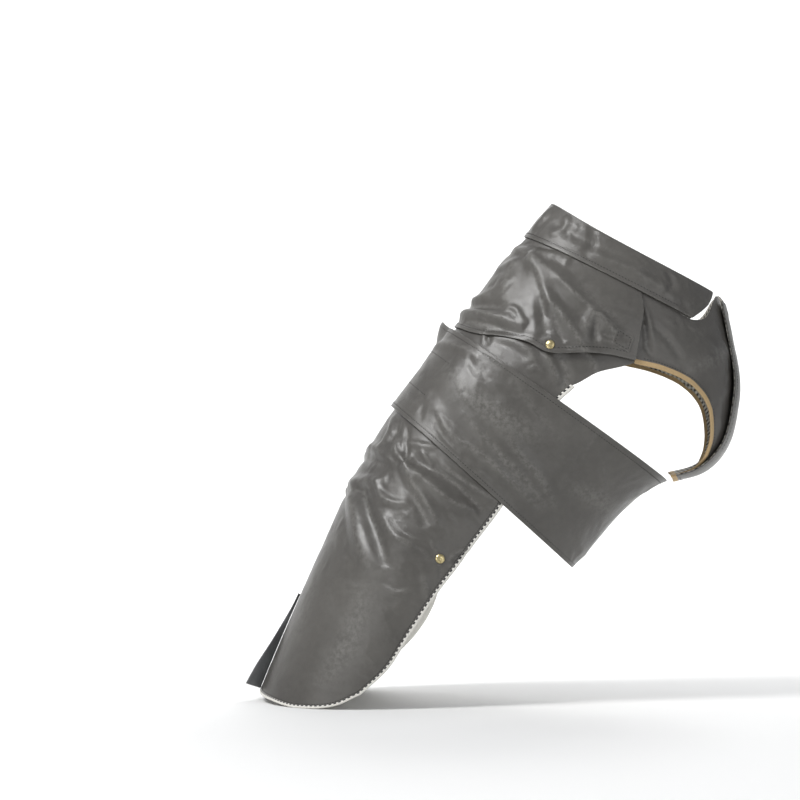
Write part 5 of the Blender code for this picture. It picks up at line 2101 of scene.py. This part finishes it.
@dataclass
class Wrap:
    """The belly wrap: the left half goes under, and the right one closes over the back."""

    step: float = 2.8 * MM
    cloth_thickness: float = 1.2 * MM

    def build(self) -> None:
        """Makes both halves, their stitched edges and the touch tapes between them."""
        top, bottom = SIZES.wrap_top, SIZES.wrap_bottom
        low = SIZES.shell_top + SIZES.wrap_ease
        tape_low = low + self.cloth_thickness + SIZES.tape_gap
        hook_low = tape_low + SIZES.tape + SIZES.tape_gap
        high = hook_low + SIZES.tape + SIZES.tape_gap
        floor = SIZES.shell_top + 0.35 * MM

        def over_lift(along: np.ndarray, turn: np.ndarray) -> np.ndarray:
            """The right half, which climbs over the tapes, with its free corner standing off."""
            climb = 1 - ramp(turn, SIZES.wrap_fold + 2, SIZES.wrap_fold + 38)
            corner = ramp(-turn, 4, 24) * (1 - ramp(along, top, top + 0.065))
            return low + (high - low) * climb + 30 * MM * corner**1.5

        small = crumple(61, 34, (top + 0.006, bottom - 0.006), (-20, 175), height=1.0, slant=1.3)
        small += crumple(
            62, 170, (top + 0.002, bottom - 0.002), (-22, 176), (0.006, 0.03), 0.65, (2.8, 6.5), 1.3
        )
        small += crumple(63, 26, (top + 0.01, bottom - 0.01), (-15, 172), (0.04, 0.11), 1.3, (9, 20), 1.45)
        over = Cloth(
            "wrap_over_cloth",
            ("wrap_right", "wrap_end_flap"),
            Places.band(top, bottom, SIZES.wrap_end, 180 - SIZES.centre, self.step),
            over_lift,
            self.cloth_thickness,
            FINISH.waxed,
            FoldField(list(Creases.WRAP) + small),
            bend=Bend(
                "wrap_end",
                ((top + bottom) / 2, SIZES.wrap_fold + 5),
                ((top + bottom) / 2, SIZES.wrap_fold - 5),
            ),
            hems=(Edge.TOP, Edge.BOTTOM, Edge.START),
            finished=(Edge.TOP, Edge.BOTTOM, Edge.START),
            floor=lambda along, turn: np.where(turn < SIZES.wrap_fold, high, floor),
            rests_on=("back_cloth_right", "wrap_under_cloth"),
        )
        folds = mirrored_folds(Creases.WRAP[3:], 0.006, 0.9)
        folds += crumple(77, 30, (top + 0.006, bottom - 0.006), (30, 175), height=1.0, slant=1.3)
        folds += crumple(
            78, 130, (top + 0.002, bottom - 0.002), (32, 176), (0.006, 0.03), 0.65, (2.8, 6.5), 1.3
        )
        under = Cloth(
            "wrap_under_cloth",
            ("wrap_left",),
            Places.band(top, bottom, -(SIZES.wrap_fold - 6.0), 180 - SIZES.centre, self.step),
            lambda along, turn: np.full(np.shape(along), low),
            self.cloth_thickness,
            FINISH.waxed,
            FoldField([fold for fold in folds if min(turn for _, turn in fold.line) > 26]),
            side=Side.LEFT,
            hems=(Edge.TOP, Edge.BOTTOM),
            finished=(Edge.TOP, Edge.BOTTOM, Edge.START),
            floor=lambda along, turn: np.full(np.shape(along), floor),
            rests_on=("back_cloth_left",),
        )
        lift = Cloth.WELT - Cloth.GROOVE * 0.9
        for cloth, first, turns in ((over, -22.0, (-9.0, 33.0)), (under, -28.0, None)):
            piece = cloth.build()
            rows = [
                dense([(s, first), (s, 176.0)], 90)
                for s in (top + Cloth.STITCH_AT, bottom - Cloth.STITCH_AT)
            ]
            sewn = STITCH.along_lines(f"{cloth.name}_stitches", cloth, rows, FINISH.thread, lift)
            extra = [sewn]
            if turns:
                middle = (top + bottom) / 2
                rows = [
                    dense([(middle + s, turns[0]), (middle + s, turns[1])], 30) for s in (-0.024, 0.024)
                ]
                extra.append(STITCH.along_lines("wrap_tape_stitches", cloth, rows, FINISH.thread))
            cloth.declare(piece, extra)
        middle = (top + bottom) / 2
        for name, node, lift_at, body in (
            ("wrap_loops", "wrap_loop_tape", tape_low - 0.25 * MM, "coat"),
            ("wrap_hooks", "wrap_hook_tape", hook_low + 0.25 * MM, "wrap_end"),
        ):
            tape = Cloth(
                name,
                (node,),
                Places.band(
                    middle - 0.025, middle + 0.025, SIZES.wrap_end + 6, SIZES.wrap_fold - 6, 3 * MM
                ),
                lambda along, turn, at=lift_at: np.full(np.shape(along), at),
                SIZES.tape,
                FINISH.touch,
                FoldField(()),
                slot="touch_tape",
                body=body,
            )
            tape.declare(tape.build())


@dataclass
class Chest:
    """The chest: a right panel that lies flat, and a left one that closes over it."""

    step: float = 2.8 * MM
    lining_step: float = 4.5 * MM

    @staticmethod
    def rise(turn: np.ndarray) -> np.ndarray:
        """How far the closing panel stands over the other one, from the seam on."""
        return SIZES.over_rise * ramp(turn, SIZES.chest_seam + 6, 158.0)

    def build(self) -> None:
        """Makes both panels with linings, touch tapes and the bindings of the leg holes."""
        seam = (0.04, float(Lines.seam_turn(0.04)))
        for side in Side:
            right = side is Side.RIGHT
            last = SIZES.under_end if right else SIZES.over_end
            body = "coat" if right else "chest_flap"
            bend = None if right else Bend(body, seam, (0.04, seam[1] + 9))
            drawn = list(Creases.CHEST) if right else mirrored_folds(Creases.CHEST, 0.004, 0.8)
            small = crumple(83 if right else 97, 24, (-0.03, 0.13), (95, 185), height=0.9, slant=0.6)
            small += crumple(
                84 if right else 98, 110, (-0.04, 0.13), (93, 188), (0.006, 0.028), 0.7, (2.6, 6.0), 0.6
            )
            creases = FoldField(drawn + small)

            offset = 0.0 if right else 1.0
            cloths = []
            for kind, base, thick, finish, slot, step, share in (
                ("cloth", SIZES.shell_lift, SIZES.cloth, FINISH.waxed, "waxed_cloth", self.step, 1.0),
                (
                    "inside",
                    SIZES.lining_lift,
                    SIZES.lining,
                    FINISH.lining,
                    "check_lining",
                    self.lining_step,
                    0.45,
                ),
            ):
                nodes = {
                    (True, "cloth"): "chest_panel_right",
                    (True, "inside"): "chest_lining_right",
                    (False, "cloth"): "chest_flap_left",
                    (False, "inside"): "chest_flap_lining",
                }
                cloths.append(
                    Cloth(
                        f"chest_{kind}_{side.hand}",
                        (nodes[right, kind],),
                        Lines.chest(last, step),
                        lambda a, t, base=base, o=offset: base + o * self.rise(t) + 0 * a,
                        thick,
                        finish,
                        FoldField(
                            [f for f in creases.folds if not right or max(t for _, t in f.line) < 172]
                        ),
                        slot=slot,
                        side=side,
                        body=body,
                        bend=bend,
                        follow=share,
                    )
                )
            line = dense(Lines.cut_out(last), 220)
            tape = TapeRun(
                f"leg_hole_tape_{side.hand}",
                (f"leg_hole_binding_{side.hand}",),
                line,
                -1.0,
                FINISH.tan_tape,
                "tan_binding",
                body,
                bend,
            ).build(side, lambda a, t, c=cloths[0]: c.over(a, t) - SIZES.shell_top)
            outer, inner = cloths
            piece = outer.build()
            rows = [inset(dense([(0.004 + 0.10 * k, last) for k in (0, 1)], 30) + (0, -3.4), 0.0)]
            rows.append(inset(line[8:-8], -SIZES.binding - 2.4 * MM))
            sewn = STITCH.along_lines(f"chest_stitches_{side.hand}", outer, rows, FINISH.thread)
            outer.declare(piece, [tape, sewn])
            inner.declare(inner.build())
        loops = SIZES.shell_top + SIZES.layer_gap
        for name, node, at, first, side, body in (
            ("chest_loops", "chest_loop_tape", loops, 167.0, Side.RIGHT, "coat"),
            (
                "chest_hooks",
                "chest_hook_tape",
                loops + SIZES.tape + SIZES.layer_gap,
                168.0,
                Side.LEFT,
                "chest_flap",
            ),
        ):
            tape = Cloth(
                name,
                (node,),
                Places.band(0.030, 0.080, first, first + 25, 3 * MM),
                lambda along, turn, at=at: np.full(np.shape(along), at),
                SIZES.tape,
                FINISH.touch,
                FoldField(()),
                slot="touch_tape",
                side=side,
                body=body,
            )
            tape.declare(tape.build())


@dataclass
class TailVent:
    """The vent's left flap, which flares out from the tail end of the centre-back seam."""

    root: float = 4.0 * MM
    flare: float = 24.0 * MM
    wave: float = 1.5 * MM

    def build(self) -> None:
        """Makes the flap: its width grows along the seam and its face waves a little."""
        tail = SIZES.back_length
        along = np.linspace(tail - SIZES.vent_length, tail - SIZES.binding, 64)
        start = FORM.lifted(along, np.full(64, -0.2), SIZES.shell_top + SIZES.layer_gap)
        width = self.root + self.flare * ramp(along, along[0], along[-1] + 0.03)
        out = FORM.outward(along, np.zeros(64)) * 0.75 + np.array((0, -0.66, 0))
        share = np.linspace(0, 1, 18)[None, :, None]
        wave = np.sin(along * 95)[:, None, None] * share**2 * self.wave * np.array((0.3, -1.0, 0.2))
        middle = start[:, None] + (out * width[:, None])[:, None] * share + wave
        normal = unit(np.cross(np.gradient(middle, axis=0), np.gradient(middle, axis=1)))
        half = 0.5 * MM * np.sqrt(np.clip(1 - np.abs(2 * share - 1) ** 14, 0.1, 1))
        points, faces = Shapes.slab(middle + normal * half, middle - normal * half, normal[32, 9])
        down = np.broadcast_to(along[:, None, None], share.shape[:0] + (64, 18, 1))
        uv = np.concatenate([width[:, None, None] * share, down - along[0]], -1).reshape(-1, 2)
        # A pale line along the flap's free edge: rubbed wax and a painted edge highlight.
        crest = np.tile(np.exp(-(((1 - np.broadcast_to(share, (64, 18, 1))) / 0.08) ** 2)).ravel(), 2)
        # The flap's lighter blue-grey cloth is painted light: it stands in for the floor's light in this
        # shaded gap.
        finish = FINISH.faded.material()
        flap = Shapes.mesh_object(
            "vent_cloth", points, faces, finish, np.tile(uv, (2, 1)), {"crest": crest}
        )
        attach(flap, "vent_flap")
        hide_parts("vent_flap_left")


@dataclass
class LegStraps:
    """The elastic straps: a tab on the hip stud, a loop round the leg and a sewn patch."""

    width: float = 10.0 * MM
    thickness: float = 1.2 * MM
    taper: float = 0.45

    def strip(
        self, name: str, middle: np.ndarray, across: np.ndarray, width: np.ndarray
    ) -> bpy.types.Object:
        """A flat strap along a line, with a rounded section |x|^3 + |y|^3 = 1.

        Args:
            name: the piece's name.
            middle: the points of its middle line.
            across: the crosswise direction at each.
            width: its width at each.

        Returns:
            The strap.
        """
        forward = unit(np.gradient(middle, axis=0))
        across = unit(across - forward * (across * forward).sum(-1, keepdims=True))
        normal = np.cross(forward, across)
        t = np.linspace(0, 2 * math.pi, 20, endpoint=False)[None, :, None]
        x = np.sign(np.cos(t)) * np.abs(np.cos(t)) ** 0.5
        y = np.sign(np.sin(t)) * np.abs(np.sin(t)) ** 0.7
        half = np.reshape(width, (-1, 1, 1)) / 2
        rings = middle[:, None] + across[:, None] * half * x + normal[:, None] * self.thickness / 2 * y
        points, faces = Shapes.tube(rings)
        run = np.concatenate([[0], np.cumsum(np.linalg.norm(np.diff(middle, axis=0), axis=1))])
        uv = np.stack(np.broadcast_arrays(run[:, None], (half * x)[..., 0]), -1).reshape(-1, 2)
        return Shapes.mesh_object(name, points, faces, FINISH.elastic.material(), uv)

    def build(self) -> None:
        """Makes each side's tab, loop and patch. The loop is a cubic Bezier curve."""
        space = SIZES.lining_lift - SIZES.stud_space - self.thickness
        patch_lift = SIZES.lining_lift - 2 * SIZES.tape_gap - self.thickness
        stud, tab_out = frame_at(*SIZES.leg_stud, space + self.thickness / 2)
        patch, patch_out = frame_at(*SIZES.strap_end, patch_lift + self.thickness / 2)
        down, across, back, crosswise = tab_out[0], tab_out[1], patch_out[0], -patch_out[1]
        a = stud + down * (SIZES.tab_reach + 0.1 * MM)
        d = patch + back * (SIZES.patch_reach + 0.1 * MM)
        b, c = a + np.array((0.012, 0.006, -0.105)), d + np.array((-0.004, -0.018, -0.105))
        t = np.linspace(0, 1, 121)[:, None]
        loop = (1 - t) ** 3 * a + 3 * (1 - t) ** 2 * t * b + 3 * (1 - t) * t**2 * c + t**3 * d
        turn = ramp(t, 0, 1)
        narrow = self.width * (self.taper + (1 - self.taper) * ramp(np.minimum(t, 1 - t), 0.0, 0.08))
        steps = np.linspace(-1, 1, 25)[:, None] * SIZES.tab_reach
        tab_line = stud + down * steps
        reach = math.degrees(SIZES.patch_reach / SIZES.chest_half_width)
        for side in Side:
            flip = np.array((1, side.value, 1))
            cross = (1 - turn) * across + turn * crosswise
            for name, node, line, wide, width, body in (
                ("strap_loop", "leg_strap", loop, cross, narrow, f"strap_{side.hand}"),
                (
                    "strap_end",
                    "strap_tab",
                    tab_line,
                    np.tile(across, (25, 1)),
                    np.full(25, self.width),
                    "coat",
                ),
            ):
                piece = self.strip(f"{name}_{side.hand}", line * flip, wide * flip, width)
                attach(piece, body)
                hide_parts(f"{node}_{side.hand}")
            along, turn_at = SIZES.strap_end
            far = SIZES.patch_reach
            patch_cloth = Cloth(
                f"strap_patch_cloth_{side.hand}",
                (f"strap_patch_{side.hand}",),
                Places.band(along - far, along + far, turn_at - reach, turn_at + reach, 2 * MM),
                lambda along, turn: np.full(np.shape(along), patch_lift),
                self.thickness,
                FINISH.elastic,
                FoldField(()),
                slot="elastic",
                side=side,
            )
            patch_cloth.declare(patch_cloth.build())


def frame_at(along: float, turn: float, lift: float) -> tuple[np.ndarray, np.ndarray]:
    """A frame on the right-hand side of the form.

    Args:
        along: metres down the spine.
        turn: degrees round from it.
        lift: the frame's height over the form.

    Returns:
        Its origin, and its three axes: down, across and outwards.
    """
    origin, up = FORM.lifted(along, turn, lift), FORM.outward(along, turn)
    down = FORM.on(along + 1e-3, turn) - FORM.on(along, turn)
    down = unit(down - up * (down @ up))
    return origin, np.stack([down, np.cross(up, down), up])


@dataclass
class PressStuds:
    """Brass press studs, each of four turned pieces: a cap and a socket, a stud and a post."""

    bodies: dict[str, str]
    around: int = 40

    def turned(
        self,
        name: str,
        profile: list[tuple[float, float]],
        place: tuple[float, float],
        side: Side,
    ) -> bpy.types.Object:
        """Turns a profile of radius and height about the form's normal at a place.

        Args:
            name: the node that it replaces.
            profile: the profile, which closes on itself or ends on the axis at both ends.
            place: the place on the form.
            side: the coat's side.

        Returns:
            The piece.
        """
        origin, axes = frame_at(*place, 0.0)
        radius, height = np.array(profile).T
        open_ends = radius[0] < 1e-9
        if open_ends:
            radius, height = radius[1:-1], height[1:-1]
        angle = np.linspace(0, 2 * math.pi, self.around, endpoint=False)
        rings = radius[:, None, None] * (
            np.cos(angle)[None, :, None] * axes[0] + np.sin(angle)[None, :, None] * axes[1]
        )
        points = (origin + rings + height[:, None, None] * axes[2]).reshape(-1, 3)
        count = len(radius)
        if open_ends:
            quads = Shapes.grid_faces(count, self.around, wrap=True)
            ends = origin + np.array([profile[0][1], profile[-1][1]])[:, None] * axes[2]
            points = np.concatenate([points, ends])
            first = np.arange(self.around)
            after = np.roll(first, -1)
            last, shift = (count - 1) * self.around, count * self.around
            pole = np.full(self.around, shift)
            fans = np.concatenate(
                [np.stack([pole, first, after], -1), np.stack([pole + 1, after + last, first + last], -1)]
            )
            faces = [quads, fans]
        else:
            wrapped = Shapes.grid_faces(count + 1, self.around, wrap=True) % (count * self.around)
            faces = [wrapped]
        corners = points[faces[0]]
        area = np.cross(corners[:, 2] - corners[:, 0], corners[:, 3] - corners[:, 1])
        if (area * (corners.mean(1) - points.mean(0))).sum() < 0:
            faces = [part[:, ::-1] for part in faces]
        if side is Side.LEFT:
            points, faces = points * (1, -1, 1), [part[:, ::-1] for part in faces]
        piece = Shapes.mesh_object(f"{name}_brass", points, faces, FINISH.brass.material(), sharp=35)
        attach(piece, self.bodies[name])
        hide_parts(name)
        return piece

    def profiles(self, caps: tuple[float, float], studs: tuple[float, float]) -> dict[str, list]:
        """The four profiles of a stud through two cloths.

        Args:
            caps: the low and high lift of the cloth under the cap.
            studs: the low and high lift of the cloth that the stud sits in.

        Returns:
            Each piece's profile, by its part of the name.
        """
        s = SIZES
        base = caps[1] + s.cap_seat
        tip = caps[0] - s.seat - s.socket_web
        angles = np.linspace(0, math.pi / 2, 14)
        dome = [
            (s.cap_radius * math.sin(a), base + s.flange / 2 + s.cap_dome * math.cos(a)) for a in angles
        ]
        dome[0] = (0.0, dome[0][1])
        curl = [(s.cap_radius - 0.1 * MM, base + 0.1 * MM), (s.cap_radius - 0.4 * MM, base)]
        cap = dome + curl + [(s.shank_radius, base), (s.shank_radius, tip), (0.0, tip)]
        bore, cavity = s.shank_radius + s.stud_clearance, s.head_radius + s.stud_clearance
        top = caps[0] - s.seat
        web, mouth = top - s.socket_web, top - s.socket_height
        socket = [(s.disc_radius, top), (s.disc_radius, web), (4.25 * MM, mouth)]
        socket += [(cavity, mouth), (cavity, web), (bore, web), (bore, top)]
        bore, seat = s.shank_radius + s.stud_clearance / 2, studs[1] + s.seat
        crown, roof = seat + s.socket_height, seat + s.socket_height / 2
        stud = [(0.0, crown), (s.neck_radius, crown), (s.head_radius, crown - s.flange)]
        stud += [(s.neck_radius, seat + s.flange), (s.disc_radius, seat + s.flange), (s.disc_radius, seat)]
        stud += [(bore, seat), (bore, roof), (0.0, roof)]
        top, point = studs[0] - s.seat, studs[1] + s.seat + s.socket_height / 2 - s.stud_clearance
        post = [(0.0, point), (s.shank_radius, point), (s.shank_radius, top)]
        post += [(s.disc_radius, top), (s.disc_radius, top - s.flange), (0.0, top - s.flange)]
        return {"cap": cap, "socket": socket, "stud": stud, "post": post}

    def build(self) -> None:
        """Makes the four studs, each piece on the body of the node that it stands for."""
        shell = (SIZES.lining_lift, SIZES.shell_top)
        strap = SIZES.lining_lift - SIZES.stud_space
        for side in Side:
            for kind, place, caps, studs in (
                ("cape_stud", SIZES.cape_stud, (SIZES.cape_lift, SIZES.cape_lift + SIZES.cloth), shell),
                ("leg_stud", SIZES.leg_stud, shell, (strap - 1.2 * MM, strap)),
            ):
                for part, profile in self.profiles(caps, studs).items():
                    self.turned(f"{kind}_{side.hand}_{part}", profile, place, side)


@dataclass
class Studio:
    """A pale sweep of floor and wall, soft lamps and a camera that looks at the coat's right side."""

    low: float
    target: tuple[float, float, float] = (-0.103, -0.06, -0.128)
    distance: float = 4.17
    lens: float = 150.0

    def floor(self) -> None:
        """A floor that curves up into a wall: a quarter circle of 1 m radius behind the coat."""
        arc = np.linspace(0, math.pi / 2, 24)
        y = np.concatenate([[-9.0], 5.2 + np.sin(arc), [6.2]])
        z = np.concatenate([[0.0], 1 - np.cos(arc), [7.0]])
        x = np.array([-9.0, 9.0])
        grid = np.stack(np.broadcast_arrays(x[None], y[:, None], z[:, None] + self.low), -1)
        finish = Finish("pale_sweep", (0.80, 0.80, 0.79), 0.75)
        faces = Shapes.grid_faces(len(y), 2)[:, ::-1]
        sweep = Shapes.mesh_object("studio_sweep", grid.reshape(-1, 3), [faces], finish.material())
        sweep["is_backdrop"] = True

    @staticmethod
    def lamp(name: str, place: Sequence[float], aim: Sequence[float], size: float, power: float) -> None:
        """A square soft lamp.

        Args:
            name: its name.
            place: where it is.
            aim: where it points.
            size: its side, in metres.
            power: its power, in watts.
        """
        light = bpy.data.lights.new(name, "AREA")
        light.shape, light.size, light.energy = "SQUARE", size, power
        lamp = bpy.data.objects.new(name, light)
        lamp.location = place
        lamp.rotation_euler = (Vector(aim) - Vector(place)).to_track_quat("-Z", "Y").to_euler()
        bpy.context.scene.collection.objects.link(lamp)

    def build(self) -> None:
        """Makes the sweep, the world, the lamps and the camera."""
        self.floor()
        world = bpy.data.worlds.new("studio")
        world.use_nodes = True
        background = world.node_tree.nodes["Background"]
        background.inputs["Color"].default_value = (0.93, 0.95, 1.0, 1.0)
        background.inputs["Strength"].default_value = 0.42
        scene = bpy.context.scene
        scene.world = world
        scene.view_settings.view_transform = "Standard"
        self.lamp("key", (-1.7, -1.2, 2.1), (0.0, -0.05, -0.1), 0.8, 70)
        self.lamp("wall", (0.0, 2.4, 3.4), (0.0, 6.2, 0.6), 3.0, 300)
        self.lamp("rim", (0.9, 1.9, 1.5), (0.0, 0.0, -0.1), 0.9, 26)
        self.lamp("fill", (1.6, -2.6, 0.6), (0.0, -0.1, -0.1), 2.0, 15)
        self.lamp("low", (-2.6, -2.2, -0.1), (-0.2, 0.0, -0.35), 1.4, 16)
        camera = bpy.data.cameras.new("view")
        camera.lens, camera.sensor_width = self.lens, 36.0
        eye = bpy.data.objects.new("view", camera)
        target = Vector(self.target)
        eye.location = target + Vector((0.0, -self.distance, 0.0))
        eye.rotation_euler = (target - eye.location).to_track_quat("-Z", "Y").to_euler()
        scene.collection.objects.link(eye)
        scene.camera = eye


def main() -> None:
    """Builds the coat's sub-assemblies in order and then the studio."""
    logging.basicConfig(level=logging.INFO, format="%(message)s")
    record = FRAME["record"]
    bodies = {node: body for body, nodes in record["behaviour"]["bodies"].items() for node in nodes}
    shell = Shell()
    shell.build()
    Cape(shell).build()
    Collar().build()
    Wrap().build()
    Chest().build()
    TailVent().build()
    LegStraps().build()
    PressStuds(bodies).build()
    Studio(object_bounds()[0][2]).build()


if __name__ == "__main__":
    main()
